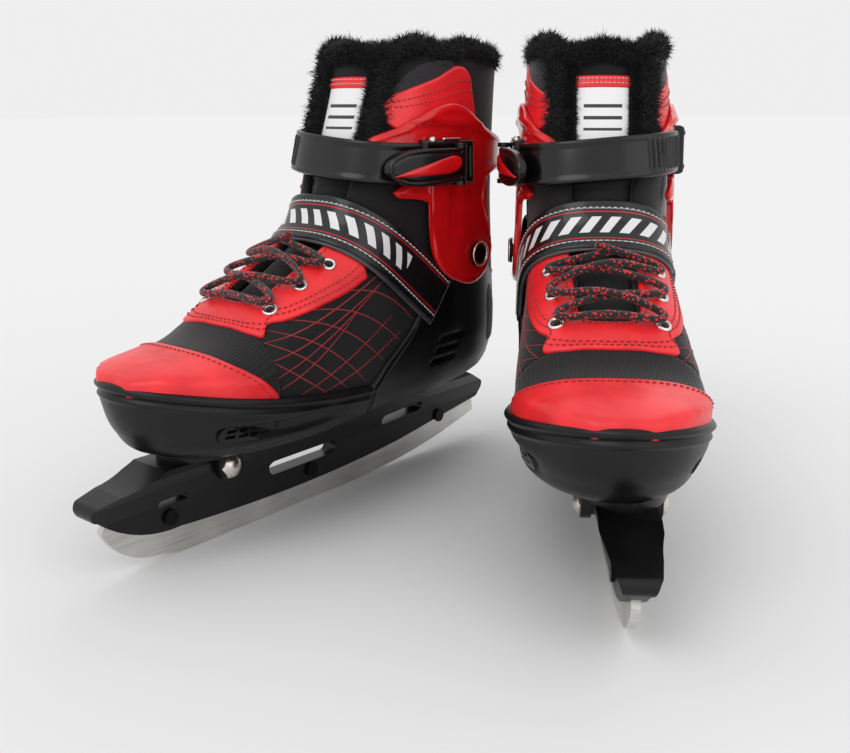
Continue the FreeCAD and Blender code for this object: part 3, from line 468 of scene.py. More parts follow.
def edgeDistance(p):
    # each grid point's distance to the nearest edge of the grid, in mm
    def along(q):
        step = np.linalg.norm(np.diff(q, axis=0), axis=-1)
        run = np.concatenate([np.zeros((1, q.shape[1])), np.cumsum(step, axis=0)])
        return np.minimum(run, run[-1] - run)
    return np.minimum(along(p), along(p.swapaxes(0, 1)).T)


def rounding(distance, radius):
    # 0 at an edge, rising as a quarter circle to 1 at radius from it
    part = np.clip(1 - distance / radius, 0, 1)
    return np.sqrt(1 - part * part)


def packed(count, power=1.8):
    # shares from 0 to 1 that lie closer together at both ends
    t = np.linspace(-1, 1, count)
    return 0.5 + 0.5 * np.sign(t) * (1 - (1 - np.abs(t)) ** power)


def spread(count, power=1.8):
    # the same from -1 to 1
    return packed(count, power) * 2 - 1


def flatRing(count, wide, tall, power=0.4):
    # a rectangle with round corners: the cosine and sine of a turn raised to a power, with their signs kept
    c, s = np.cos(around(count)), np.sin(around(count))
    return wide * np.sign(c) * np.abs(c) ** power, tall * np.sign(s) * np.abs(s) ** power


def gridFaces(rows, columns, start=0, closeColumns=False):
    # four corners for each cell: point number = row times columns plus column
    across = columns if closeColumns else columns - 1
    i, j = np.meshgrid(np.arange(rows - 1), np.arange(across), indexing="ij")
    k = (j + 1) % columns
    here, above = i * columns, (i + 1) * columns
    quads = np.stack([here + j, here + k, above + k, above + j], axis=-1)
    return quads.reshape(-1, 4) + start


def outward(points, faces):
    # turns a closed mesh's faces outwards: the signed volume tells whether the skin is inside out
    a, b, c, d = (points[faces[:, i]] for i in range(4))
    volume = np.sum(np.cross(a, b) * c) + np.sum(np.cross(a, c) * d)
    return faces if volume > 0 else faces[:, ::-1]


def closedSheet(outer, inner):
    # two matching grids joined along all four edges, as one closed skin; outer faces out
    rows, columns = outer.shape[:2]
    count = rows * columns
    index = np.arange(count).reshape(rows, columns)
    rim = np.concatenate([index[0, :], index[1:, -1], index[-1, -2::-1], index[-2:0:-1, 0]])
    after = np.roll(rim, -1)
    wall = np.column_stack([rim, rim + count, after + count, after])
    faces = np.concatenate([gridFaces(rows, columns), gridFaces(rows, columns, count)[:, ::-1], wall])
    points = np.concatenate([outer.reshape(-1, 3), inner.reshape(-1, 3)])
    return points, outward(points, faces)


def raised(on, n, high):
    # points moved off a surface along its normals by high mm
    return on + n * np.asarray(high)[..., None]


def sheet(on, n, high, low):
    # a closed skin between two heights over a surface
    return closedSheet(raised(on, n, high), raised(on, n, low))


def joinParts(parts):
    # several (points, faces) as one
    points, faces, start = [], [], 0
    for p, f in parts:
        points.append(p)
        faces.append(np.asarray(f) + start)
        start += len(p)
    return np.concatenate(points), np.concatenate(faces)


def sweep(path, across, up, sectionA, sectionB, closed=False):
    # a section (a across, b up) carried along a path, with its ends closed by a middle point
    path, across, up = (np.asarray(v, float) for v in (path, across, up))
    sectionA, sectionB = np.asarray(sectionA, float), np.asarray(sectionB, float)
    ring = path[:, None] + sectionA[..., None] * across[:, None] + sectionB[..., None] * up[:, None]
    rows, columns = ring.shape[:2]
    if closed:
        ring = np.concatenate([ring, ring[:1]])
        faces = gridFaces(rows + 1, columns, closeColumns=True) % (rows * columns)
        points = ring[:rows].reshape(-1, 3)
        return points, outward(points, faces)
    points = ring.reshape(-1, 3)
    faces = [gridFaces(rows, columns, closeColumns=True)]
    for row, flip in ((0, 1), (rows - 1, -1)):
        middle = len(points)
        points = np.concatenate([points, ring[row].mean(axis=0)[None]])
        here = row * columns + np.arange(columns)
        after = np.roll(here, -1)
        cap = np.column_stack([np.full(columns, middle), after, here, np.full(columns, middle)])
        faces.append(cap[:, ::flip])
    return points, outward(points, np.concatenate(faces))


def pathFrames(path, upHint, closed=False):
    # unit tangent, across and up along a path, with up near upHint
    path = np.asarray(path, float)
    if closed:
        tangent = np.roll(path, -1, axis=0) - np.roll(path, 1, axis=0)
    else:
        tangent = np.gradient(path, axis=0)
    tangent /= np.linalg.norm(tangent, axis=1, keepdims=True)
    across = np.cross(tangent, np.broadcast_to(upHint, path.shape))
    across /= np.maximum(np.linalg.norm(across, axis=1, keepdims=True), 1e-9)
    return tangent, across, np.cross(across, tangent)


def tube(path, radius, sides=10, upHint=(0, 0, 1), closed=False):
    # a round section along a path
    _, across, up = pathFrames(path, upHint, closed)
    turn = around(sides)
    radius = np.broadcast_to(radius, (len(path),))
    return sweep(path, across, up, radius[:, None] * np.cos(turn), radius[:, None] * np.sin(turn), closed)


def addPiece(name, points, faces, material, body, uv=None, blendLine=None, nodes=(), slot=None, crease=None):
    # one mesh for each skate; the right one is the left one's mirror image, so its faces turn round
    points = np.asarray(points, float)
    faces = np.asarray(faces)
    for side in sides:
        mesh = bpy.data.meshes.new(side + "_" + name)
        turned = faces if side == "left" else faces[:, ::-1]
        lists = [[int(v) for v in dict.fromkeys(face)] for face in turned.tolist()]
        mesh.from_pydata(toWorld(points, side).tolist(), [], [f for f in lists if len(f) > 2])
        mesh.polygons.foreach_set("use_smooth", np.full(len(mesh.polygons), True))
        place = mesh.attributes.new("skate", "FLOAT_VECTOR", "POINT")
        place.data.foreach_set("vector", points.astype(np.float32).ravel())
        if uv is not None:
            layer = mesh.uv_layers.new(name="UVMap")
            loops = np.empty(len(mesh.loops), np.int32)
            mesh.loops.foreach_get("vertex_index", loops)
            layer.data.foreach_set("uv", np.asarray(uv, np.float32)[loops].ravel())
        if crease is not None:
            mesh.set_sharp_from_angle(angle=math.radians(crease))
        obj = bpy.data.objects.new(mesh.name, mesh)
        bpy.context.scene.collection.objects.link(obj)
        mesh.materials.append(material)
        if blendLine:
            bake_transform(obj)
        else:
            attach(obj, side + "_" + body)
        if nodes:
            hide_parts(*[side + "_" + node for node in nodes])


rowLook = {"hub": (75.5, 0.0, 215.0), "turned": 92, "levels": (217, 246, 14),
           "reach": [(0, 126), (22, 126), (45, 143), (68, 150), (90, 148)]}


def addLevels(spine, front, levels):
    # level rows on top of the others, straight above the last one
    count = len(levels)
    spine = np.concatenate([spine, np.column_stack([np.full(count, spine[-1, 0]), np.zeros(count), levels])])
    return spine, np.concatenate([front, np.tile([1.0, 0, 0], (count, 1))])


def bootRows():
    # planes that turn about a line in front of the ankle, then lie level up to the collar
    turns = np.radians(np.linspace(0, 90, rowLook["turned"]))
    reach = smoothTable(rowLook["reach"], np.degrees(turns))[0]
    down = np.column_stack([-np.sin(turns), 0 * turns, -np.cos(turns)])
    return addLevels(rowLook["hub"] + down * reach[:, None], -down, np.linspace(*rowLook["levels"]))


def ringGrid(spine, front, angles, field=bootField):
    # rays in each plane from its spine point: angle 90 degrees is to the front or top, 0 to the outer side
    directions = (np.cos(angles)[..., None] * np.array([0.0, 1.0, 0.0])
                  + np.sin(angles)[..., None] * front[:, None])
    return castOut(field, np.broadcast_to(spine[:, None], directions.shape), directions)


def ruled(edgeA, edgeB, count):
    # columns from one edge curve to another
    t = packed(count)[None, :, None]
    return edgeA[:, None] * (1 - t) + edgeB[:, None] * t


# the shells' outline, which the boot's toe keeps inside
shellPlan = [(0.0, 0.0), (0.012, 0.30), (0.045, 0.58), (0.11, 0.83), (0.24, 1.0), (0.40, 0.94), (0.55, 0.84),
             (0.75, 0.84), (0.89, 0.72), (0.97, 0.42), (1.0, 0.0)]
shellLevels = [(56, 112, -124, 33), (62, 127, -134, 39.5), (72, 136, -141, 44.5), (86, 141, -144, 47.5),
               (104, 142.5, -144.5, 48), (130, 139, -142.5, 47.4), (162, 130, -140, 46.8)]
shellLook = {"split": 3.0, "wall": 3.0, "floor": 56.0, "sleeveInset": 3.5, "sleeveRear": -22.0}
soleLook = {"toe": 141.0, "length": 285.0, "half": 48.0}


def planLoop():
    # the sole's outline as one smooth closed line of (share of the length, share of the half width)
    upper = np.array(shellPlan)
    loop = np.concatenate([upper, upper[-2:0:-1] * [1, -1]])
    scaled = loop * [soleLook["length"], soleLook["half"]]
    ring = np.concatenate([scaled[-3:], scaled, scaled[:4]])
    step = runLength(ring)
    at = np.linspace(step[3], step[3 + len(loop)], 1201)
    return smoothTable(np.column_stack([step, ring]), at).T / [soleLook["length"], soleLook["half"]]


planLine = planLoop()
outerLine = planLine[:601]      # its half on the outer side, from the toe to the heel


def soleX(shares):
    # the place along the skate that belongs to outline shares: the toe's place less share times length
    return soleLook["toe"] - shares[..., 0] * soleLook["length"]


def planPart(fromX, toX, count):
    # outline shares on the outer side between two places along the skate, at even steps
    x = soleX(outerLine)
    keep = np.linspace(fromX, toX, count)
    order = np.argsort(x)
    share = (soleLook["toe"] - keep) / soleLook["length"]
    return np.column_stack([share, np.interp(keep, x[order], outerLine[order, 1])])


def shellPoint(shares, z):
    # a point of the shell's outer face from its outline shares and level
    toe, heel, half = smoothTable(shellLevels, z)
    return np.stack([toe - shares[..., 0] * (toe - heel), shares[..., 1] * half, z], axis=-1)


def toeField(p):
    # the foot, held inside the shell wherever it is lower than the rim
    toe, heel, half = smoothTable(shellLevels, p[..., 2])
    share = np.clip((toe - p[..., 0]) / (toe - heel), 0, 1)
    order = np.argsort(outerLine[:, 0])
    width = np.interp(share, outerLine[order, 0], outerLine[order, 1]) * half
    inset = 3.4 * np.clip((108 - p[..., 2]) / 6, 0, 1)
    tight = np.where(p[..., 0] > toe - inset, 1.0, np.abs(p[..., 1]) - width + inset)
    return np.maximum(footField(p), np.where(p[..., 2] < 108, tight, -1.0))


# two places, the first at the shell and the second at the cuff; a piece given them keeps its world place and is
# not attached to a body, and the places themselves are not read
rideLine = ((-23.0, 0.0, 163.0), (-44.5, 0.0, 190.5))
bootLook = {"wall": 4.5, "throat": 14.0, "throatTop": 18.0}


def throatHalf(turnDegrees, z):
    # half width of the opening down the front, from the front bar of the eyestay to the collar
    opened = np.clip((turnDegrees - 9.5) / 2.0, 0, 1)
    return opened * (bootLook["throat"] + (bootLook["throatTop"] - bootLook["throat"])
                     * np.clip((z - 150) / 50, 0, 1))


def bootSkin():
    # an open ring round the foot and shaft: every row lies in a plane that turns from upright to level
    spine, front = addLevels(*bootRows(), [248.5, 251.0])      # two more rows reach up into the pile
    turns = 90 - np.degrees(np.arctan2(front[:, 2], front[:, 0]))
    turns[front[:, 0] > 0.999] = 90
    tip = castOut(bootField, spine, front)
    reach = np.linalg.norm(tip - spine, axis=1)
    gap = np.arcsin(np.clip(throatHalf(turns, tip[:, 2]) / reach, 0, 0.9))
    share = np.linspace(0, 1, 150)
    angles = math.pi / 2 + gap[:, None] + (2 * math.pi - 2 * gap[:, None]) * share[None]
    grid = ringGrid(spine, front, angles)
    n = gridNormals(grid, spine[:, None])
    # the wall is thinner at the toe, and both faces turn in at the edges
    wall = bootLook["wall"] * np.clip((turns + 3) / 12, 0.25, 1)[:, None]
    turnedIn = 1 - rounding(edgeDistance(grid), 3.0)
    outer = raised(grid, n, -1.5 * turnedIn)
    inner = raised(grid, n, 1.2 * turnedIn - wall)
    for skin in (outer, inner):
        skin[..., 2] = np.maximum(skin[..., 2], boot["floor"] - 0.5)
    points, faces = closedSheet(outer, inner)
    addPiece("boot_skin", points, faces, sideMesh, "cuff", blendLine=rideLine,
             nodes=("boot_upper", "boot_collar"), slot="black_mesh")


def drape(edgeA, edgeB, centres, field, columns, lift, thick, edgeRadius):
    # a closed sheet laid on a surface between two edge curves, pushed out along rays from its centres
    origins = centres[:, None]
    on = castOut(field, origins, ruled(edgeA, edgeB, columns) - origins)
    n = gridNormals(on, origins)
    high = lift + thick * rounding(edgeDistance(on), edgeRadius)
    return on, n, high, sheet(on, n, high, lift - 0.4)


toeMiddle = np.array([78.0, 0.0, 84.0])     # the place inside the toe that the toe band's rays fan out from


def toeCap():
    # the toe band, between a low edge inside the shell's rim and the top edge
    top = [(99.5, 0, 106.9), (98.8, 12, 106.4), (97.5, 22, 105.6), (95, 31, 103.4), (90, 38, 100.0),
           (83.5, 42.5, 95.0), (77, 44.2, 87.5), (75.5, 44.2, 80.0)]
    low = [(138, 0, 94), (134, 16, 93.6), (124, 27, 91), (112, 34, 88), (100, 39, 85), (90, 42, 83),
           (80, 43.5, 80.5), (75.5, 44.0, 79.0)]
    both = [np.array(side[:0:-1]) * [1, -1, 1] for side in (top, low)]
    edgeTop = curve(np.concatenate([both[0], top]), 120)
    edgeLow = curve(np.concatenate([both[1], low]), 120)
    centres = np.broadcast_to(toeMiddle, edgeTop.shape)
    band = drape(edgeLow, edgeTop, centres, toeField, 26, 0.2, 1.7, 1.5)[3]
    addPiece("toe_band", *band, redLeather, "toe", nodes=("toe_cap",), slot="red_leather", crease=60)
    return edgeTop


def vamp():
    # ribbed band behind the toe cap, running on under the boot and the toe cap
    xs = np.linspace(56, 100, 34)
    spine = np.column_stack([xs, 0 * xs, 0 * xs + 88])
    angles = np.linspace(math.radians(-28), math.radians(208), 90)
    front = np.tile([0.0, 0, 1.0], (len(xs), 1))
    grid = ringGrid(spine, front, np.broadcast_to(angles, (len(xs), 90)), toeField)
    n = gridNormals(grid, spine[:, None])
    drop = np.clip((76.0 - xs) / 3.0, 0, 1)[:, None] * 2.2
    band = sheet(grid, n, 0.3 - drop, -2.2 - drop)
    addPiece("vamp_band", *band, vampMesh, "toe", nodes=("vamp",), slot="ribbed_mesh")


bootSkin()
capEdge = toeCap()
vamp()
print("boot made")


def withFloor(outer, inner, low, thick):
    # a shell's two faces closed by its floor: rows drawn in to the middle line by shares of the half width
    foot = np.array([np.column_stack([outer[0, :, 0], outer[0, :, 1] * s, low]) for s in (0.02, 0.5, 0.93)])
    inner = np.maximum(inner, [-999, -999, shellLook["floor"] + thick])
    return closedSheet(np.concatenate([foot, outer]), np.concatenate([foot + [0, 0, thick], inner]))


def toeShell():
    # columns go round the toe from one side's sleeve to the other's; rows rise from the sole to the rim
    index = np.concatenate([np.arange(0, 40, 2), np.arange(40, 340, 3)])
    half = planLine[index]
    floor, split = shellLook["floor"], shellLook["split"]
    half = np.concatenate([half[soleX(half) > split + 0.5], planPart(split + 0.4, split + 0.4, 1),
                           planPart(split - 0.6, shellLook["sleeveRear"], 6)])
    shares = np.concatenate([half[:0:-1] * [1, -1], half])
    xs = soleX(shares)
    sleeve = np.clip((split - xs) / 0.9, 0, 1)
    rim = np.interp(xs, [-30, 3, 4, 36.5, 79, 100, 121, 135, 142],
                    [73.5, 73.8, 75, 79, 86.5, 90.8, 95.5, 98.6, 100])
    rise = np.concatenate([[0, 0.01, 0.03, 0.06], np.linspace(0.09, 0.78, 34), np.linspace(0.79, 1, 34)])
    z = floor + (rim[None] - floor) * rise[:, None]
    grid = shellPoint(np.broadcast_to(shares, z.shape + (2,)), z)
    n = gridNormals(grid, np.array([60.0, 0, 80]))
    below = rim[None] - z                       # mm below the rim
    # lip: a proud roll at the rim, a groove, a thinner roll, then a shallow step
    lift = 1.3 * np.exp(-((below - 2.2) / 1.7) ** 2) - 0.5 * np.exp(-((below - 5.2) / 0.7) ** 2)
    lift += 0.8 * np.exp(-((below - 7.4) / 1.2) ** 2)
    # the long hollow low on each side, and a groove along the sole
    along = np.clip((xs[None] - 26) / 18, 0, 1) * np.clip((122 - xs[None]) / 18, 0, 1)
    hollow = np.exp(-((z - (68.5 + (xs[None] - 60) * 0.06)) / 4.6) ** 4)
    lift -= 2.6 * along * hollow
    lift -= 0.8 * np.exp(-((z - 60.5) / 0.8) ** 2) * np.clip((xs[None] - 10) / 10, 0, 1)
    lift *= (1 - sleeve)[None]
    lift -= sleeve[None] * shellLook["sleeveInset"]
    lift -= 1.0 * (1 - rounding(below, 1.4)) * (1 - sleeve)[None]
    wall = 2.6 + 0.4 * (1 - sleeve[None])
    inner = raised(grid, n, np.minimum(lift, 0) - wall)
    body = withFloor(raised(grid, n, lift), inner, np.full(len(xs), floor), 3.4)
    addPiece("toe_shell_body", *body, shellNylon, "toe", nodes=("toe_shell",), slot="shell_plastic",
             crease=50)


def heelLine(x):
    # the heel shell's low edge: it rises by a fifth of the distance behind -75
    return shellLook["floor"] + np.maximum(0, -75 - x) * 0.2


def heelShell():
    # from the diagonal front edge back round the heel, with a round lobe up to the cuff's rivet
    front = planPart(shellLook["split"], -130, 90)
    half = np.concatenate([front, outerLine[soleX(outerLine) < -131][::4], [[1.0, 0.0]]])
    shares = np.concatenate([half, half[-2::-1] * [1, -1]])
    xs = soleX(shares)
    top = np.interp(-xs, [-3, 9.5, 22, 32, 40, 46, 54, 62, 71, 79, 87, 96, 104, 113, 122, 140, 160],
                    [73, 85, 94, 102, 112, 120, 131, 143, 153, 159.5, 161.5, 158.5, 150, 136, 127, 122.5,
                     121])
    low = heelLine(xs)
    rise = np.concatenate([[0, 0.01, 0.03], np.linspace(0.06, 1, 60)])
    z = low[None] + (top - low)[None] * rise[:, None]
    grid = shellPoint(np.broadcast_to(shares, z.shape + (2,)), z)
    n = gridNormals(grid, np.array([-70.0, 0, 90]))
    # a raised bead just inside the diagonal edge, and a pressed panel with three slots behind it
    inside = edgeDistance(grid)
    lift = -1.2 * (1 - rounding(inside, 1.5)) + 0.7 * np.exp(-((inside - 3.2) / 1.1) ** 2)
    lift -= 0.9 * np.exp(-(((xs[None] + 62) / 26) ** 4 + ((z - 84) / 12) ** 4))
    for slotAt in (78.0, 84.5, 91.0):
        ends = np.exp(-((xs[None] + 62 + (slotAt - 78) * 0.5) / 11) ** 8)
        lift -= 2.0 * np.exp(-((z - slotAt) / 1.3) ** 6) * ends
    outer = raised(grid, n, lift)
    inner = raised(grid, n, np.minimum(lift, 0) - shellLook["wall"])
    body = withFloor(outer, inner, heelLine(outer[0, :, 0]), 3.6)
    addPiece("heel_shell_body", *body, shellNylon, "base", nodes=("heel_shell",), slot="shell_plastic",
             crease=50)


toeShell()
heelShell()
print("shells made")

cuffLook = {"wall": 3.0, "rows": 110, "columns": 40}


def cuffShell():
    # ruled between a lower edge that dips down each arm and an upper edge that sweeps forward into the wings
    lower = [(-10.6, 204.2), (-11.3, 201.6), (-16.5, 199.7), (-24, 198.6), (-32, 197.6), (-42, 194),
             (-46.5, 184), (-46.3, 170), (-45.5, 155), (-48.5, 141), (-57, 131), (-70, 124.5), (-84, 121.5),
             (-97, 126.5), (-103.5, 136), (-101.5, 149), (-95, 160), (-92.5, 172), (-97, 181.5), (-108, 186),
             (-122, 187.5), (-136.5, 188)]
    upper = [(-10.6, 204.8), (-11.6, 207.8), (-17, 210.9), (-25, 213.8), (-31, 216.3), (-36, 218.5),
             (-41, 220.5), (-46, 222.5), (-52, 224.5), (-59, 226), (-66.5, 226.5), (-74, 225), (-81, 222.5),
             (-87, 219), (-92, 216), (-97, 213.5), (-103, 211.5), (-112, 209), (-124, 207), (-138, 206)]
    flat = ruled(curve(lower, cuffLook["rows"]), curve(upper, cuffLook["rows"]), cuffLook["columns"])
    # each place in the side view goes out to the half width there: y by the superellipse's own formula
    front, back, half = smoothTable(cuffLevels, flat[..., 1])
    middle, reach = (front + back) / 2, (front - back) / 2
    along = np.clip((flat[..., 0] - middle) / reach, -0.99999, 0.99999)
    power = boot["shaftPower"]
    y = half * (1 - np.abs(along) ** power) ** (1 / power)
    grid = np.stack([flat[..., 0], y, flat[..., 1]], axis=-1)
    # the last row is the middle of the back
    grid[-1, :, 1] = 0
    grid[-1, :, 0] = back[-1]
    whole = bothSides(grid)
    n = gridNormals(whole, whole * [0, 0, 1] + [-70.0, 0, 0])
    d = edgeDistance(whole)
    s, z = whole[..., 0], whole[..., 2]
    lift = -1.4 * (1 - rounding(d, 1.8)) + 0.9 * np.exp(-((d - 3.4) / 1.3) ** 2)
    # grooves that run up the arm and forward along the wing
    wing = np.clip((z - 203) / 6, 0, 1) * np.clip((-20 - s) / 14, 0, 1) * np.clip((s + 100) / 10, 0, 1)
    lift += 1.2 * wing * np.exp(-((z - 217 - (s + 60) * 0.06) / 2.2) ** 2)
    lift -= 0.9 * wing * np.exp(-((z - 211.5 - (s + 60) * 0.1) / 1.6) ** 2)
    arm = np.clip((186 - z) / 10, 0, 1) * np.clip((z - 148) / 8, 0, 1)
    lift -= 1.0 * arm * np.exp(-((s + 66 + (z - 160) * 0.1) / 5.5) ** 4)
    shell = sheet(whole, n, lift, 0.6 * (1 - rounding(d, 1.5)) - cuffLook["wall"])
    addPiece("cuff_shell", *shell, redAbs, "cuff", nodes=("cuff",), slot="cuff_plastic", crease=60)


cuffShell()
print("cuff made")


def fieldNormal(field, p):
    # unit gradient of the field, by small steps along each axis
    steps = np.eye(3) * 0.2
    g = np.stack([field(p + step) - field(p - step) for step in steps], axis=-1)
    return g / np.maximum(np.linalg.norm(g, axis=-1, keepdims=True), 1e-9)


def topPoints(plan):
    # points of the boot's top straight above places given in plan
    plan = np.asarray(plan, float)
    start = np.column_stack([plan, np.full(len(plan), 90.0)])
    return castOut(bootField, start, np.array([0.0, 0, 1]))


def sidePoints(places, sign=1, field=bootField):
    # points of the surface straight out to one side of (x, z) places
    places = np.asarray(places, float)
    start = np.column_stack([places[:, 0], 0 * places[:, 0], places[:, 1]])
    return castOut(field, start, np.array([0.0, sign, 0]), 80)


def onShaft(y, z, x=-75.0, way=1.0):
    # rays straight ahead or back from places inside the shaft: where they start and where they leave it
    start = np.stack(np.broadcast_arrays(x, y, z), axis=-1)
    return start, castOut(shaftField, start, np.array([way, 0, 0]), 90)


def repeated(points, one, count):
    # the faces of one small mesh with count points, for all the like ones that follow each other in points
    starts = np.arange(len(points) // count) * count
    return points, (one[None] + starts[:, None, None]).reshape(-1, 4)


def stitches(path, normals, pitch=3.1, length=2.1, radius=0.36, sink=0.1):
    # a row of thread ends along a path: each is a short bead with its ends drawn in
    run = runLength(path)
    count = max(2, int(run[-1] / pitch))
    at = (np.arange(count) + 0.5) * run[-1] / count
    spot = alongPath(at, run, path)
    along = alongPath(at + 0.3, run, path) - alongPath(at - 0.3, run, path)
    along /= np.maximum(np.linalg.norm(along, axis=1, keepdims=True), 1e-9)
    up = alongPath(at, run, normals)
    up /= np.linalg.norm(up, axis=1, keepdims=True)
    across = np.cross(along, up)
    stations = np.array([-0.5, -0.38, 0.0, 0.38, 0.5]) * length
    width = np.array([0.25, 0.85, 1.0, 0.85, 0.25]) * radius
    height = np.array([-0.6, 0.1, 0.35, 0.1, -0.6]) * radius
    turn = around(6)
    ring = (spot[:, None, None] + along[:, None, None] * stations[None, :, None, None]
            + across[:, None, None] * (width[:, None] * np.cos(turn))[None, :, :, None]
            + up[:, None, None] * (width[:, None] * np.sin(turn) + height[:, None]
                                   + radius - sink)[None, :, :, None])
    one = np.concatenate([gridFaces(5, 6, closeColumns=True), [[0, 1, 2, 3], [0, 3, 4, 5]],
                          [[27, 26, 25, 24], [29, 28, 27, 24]]])
    return repeated(ring.reshape(-1, 3), outward(ring[0].reshape(-1, 3), one), 30)


def seams(grid, normals, high, columns):
    # stitches on the surface along some of a grid's columns
    return [stitches(raised(grid, normals, high)[:, column], normals[:, column]) for column in columns]


eyestayLook = {"thick": 1.6, "lift": 0.1}


def eyestay():
    # a U round the throat, between its lower edge on the boot's sides and the throat's edge
    lowSide = sidePoints([(2.5, 135.3), (9, 132.8), (17, 130), (34, 126), (48, 123), (60, 120.6), (68, 119)])
    lowFront = topPoints([(73.5, 31), (76.6, 24), (77.6, 12), (78, 0)])
    high = topPoints([(4, 17.3), (9, 17.0), (14, 16.8), (30, 16), (44, 15.4), (54, 14.8), (60, 13),
                      (62.6, 9.5), (63.2, 5), (63.4, 0)])
    low = curve(bothSides(np.concatenate([lowSide, lowFront])), 180)
    high = curve(bothSides(high), 180)
    centres = (low + high) / 2 * [1, 0, 0] + [0, 0, 96.0]
    grid, n, top, panel = drape(low, high, centres, bootField, 22, eyestayLook["lift"],
                                eyestayLook["thick"], 1.3)
    addPiece("eyestay_panel", *panel, redLeather, "base", nodes=("eyestay",), slot="red_leather", crease=60)
    addPiece("eyestay_stitching", *joinParts(seams(grid, n, top, (5, -6, 7))), redThread, "base")


def toeBandStitches():
    # a seam on the toe band, along its top edge drawn in by 0.07 of the way to the tip
    shifted = capEdge * 0.93 + np.array([140.0, 0, 84]) * 0.07
    on = castOut(toeField, np.broadcast_to(toeMiddle, shifted.shape), shifted - toeMiddle)[4:-4]
    n = fieldNormal(toeField, on)
    addPiece("toe_band_stitching", *stitches(raised(on, n, 1.85), n), redThread, "toe")


overlayLook = {"thick": 1.7}


def collarOverlay():
    # the red side panel of the collar, whose top sweeps back and up behind the wing
    parts, threads = [], []
    for sign in (1, -1):
        top = curve(sidePoints([(-22.5, 224), (-26, 228.5), (-35, 233), (-46, 237), (-57, 240.5),
                                (-66, 244.5), (-74, 247), (-81, 246), (-86, 241)], sign, shaftField), 60)
        low = curve(sidePoints([(-22.0, 220), (-25.5, 214), (-34, 210), (-46, 209), (-60, 209), (-72, 209),
                                (-82, 209), (-88, 211), (-90, 220)], sign, shaftField), 60)
        centres = (top + low) / 2 * [1, 0, 1]
        grid, n, high, piece = drape(top, low, centres, shaftField, 20, 0.1, overlayLook["thick"], 1.3)
        parts.append(piece)
        threads += seams(grid, n, high, (6, 8))
    addPiece("collar_overlay", *joinParts(parts), redLeather, "cuff", slot="red_leather", crease=60)
    addPiece("collar_overlay_stitching", *joinParts(threads), redThread, "cuff")


arcLook = {"wide": 0.36, "high": 0.2}


def sideArcs():
    # two families of thin printed arcs that cross on each side of the boot, above the shell
    arcs = np.array([[(-34, 107), (-8, 134), (30, 130)], [(-22, 97), (10, 124), (46, 124)],
                     [(-8, 88), (24, 116), (58, 121)], [(6, 78), (38, 108), (70, 117)],
                     [(22, 78), (50, 100), (75, 112)], [(40, 80), (60, 93), (76, 103)],
                     [(74, 90), (44, 96), (10, 122)], [(76, 96), (40, 104), (-6, 130)],
                     [(76, 104), (36, 110), (-20, 137)], [(60, 84), (24, 90), (-16, 112)],
                     [(44, 81), (10, 84), (-24, 102)], [(75, 112), (30, 118), (-28, 146)],
                     [(-36, 118), (-20, 140), (-8, 142)]])
    # each is a quadratic curve from its first place towards its second and on to its third, with thin ends
    t = np.linspace(0, 1, 34)[:, None]
    slim = (np.sin(np.linspace(0.12, math.pi - 0.12, 34)) ** 0.4)[:, None]
    turn = around(6)
    parts = []
    for sign in (1, -1):
        for first, bend, last in arcs:
            path = sidePoints((1 - t) ** 2 * first + 2 * t * (1 - t) * bend + t * t * last, sign)
            n = fieldNormal(bootField, path)
            _, across, up = pathFrames(path, n)
            parts.append(sweep(path + n * 0.1, across, up, arcLook["wide"] * slim * np.cos(turn),
                               arcLook["high"] * slim * np.sin(turn)))
    addPiece("side_arcs", *joinParts(parts), printRed, "cuff", blendLine=rideLine)


def crescentPanels():
    # the grey woven panel between the collar's red side panel and the pile
    parts = []
    for sign in (1, -1):
        low = curve(sidePoints([(-26, 226), (-35, 231), (-46, 235), (-57, 238.5), (-66, 242.5), (-72, 245)],
                               sign, shaftField), 50)
        top = curve(sidePoints([(-29, 233), (-37, 241), (-46, 246.5), (-57, 249), (-66, 249.6),
                                (-72, 249.8)], sign, shaftField), 50)
        parts.append(drape(low, top, (top + low) / 2 * [1, 0, 1], shaftField, 14, 0.1, 0.9, 0.8)[3])
    addPiece("collar_crescents", *joinParts(parts), crescentCloth, "cuff")


def backStay():
    # webbing sewn up the back of the collar, with a pull loop at its top
    z, y = np.meshgrid(np.linspace(190, 247, 50), 9.0 * spread(16, 1.4), indexing="ij")
    start, on = onShaft(y, z, way=-1.0)
    n = gridNormals(on, start)
    high = 0.1 + 1.1 * rounding(edgeDistance(on), 0.9)
    addPiece("back_stay", *sheet(on, n, high, -0.3), webbing, "cuff")
    addPiece("back_stay_stitching", *joinParts(seams(on, n, high, (3, -4))), redThread, "cuff")
    # the loop is half an ellipse 22 mm high that stands 6 mm out
    bow = np.linspace(0, math.pi, 24)
    path = np.column_stack([on[30, 8, 0] - 1.5 - 6.0 * np.sin(bow), 0 * bow, 222.0 + 11.0 * np.cos(bow)])
    _, across, up = pathFrames(path, np.array([1.0, 0.0, 0.3]))
    wide, tall = (np.tile(section, (24, 1)) for section in flatRing(20, 5.5, 0.75))
    addPiece("pull_loop", *sweep(path, across, up, wide, tall), webbing, "cuff")


crescentPanels()
backStay()
eyestay()
toeBandStitches()
collarOverlay()
sideArcs()
print("panels made")

tongueLook = {"half": 25.0, "thick": 6.0, "levels": (249.0, 252.0, 255.0), "deep": 5.4, "crown": 3.6,
              "heldHalf": 17.5, "held": (195.0, 244.0), "channel": 16.0}


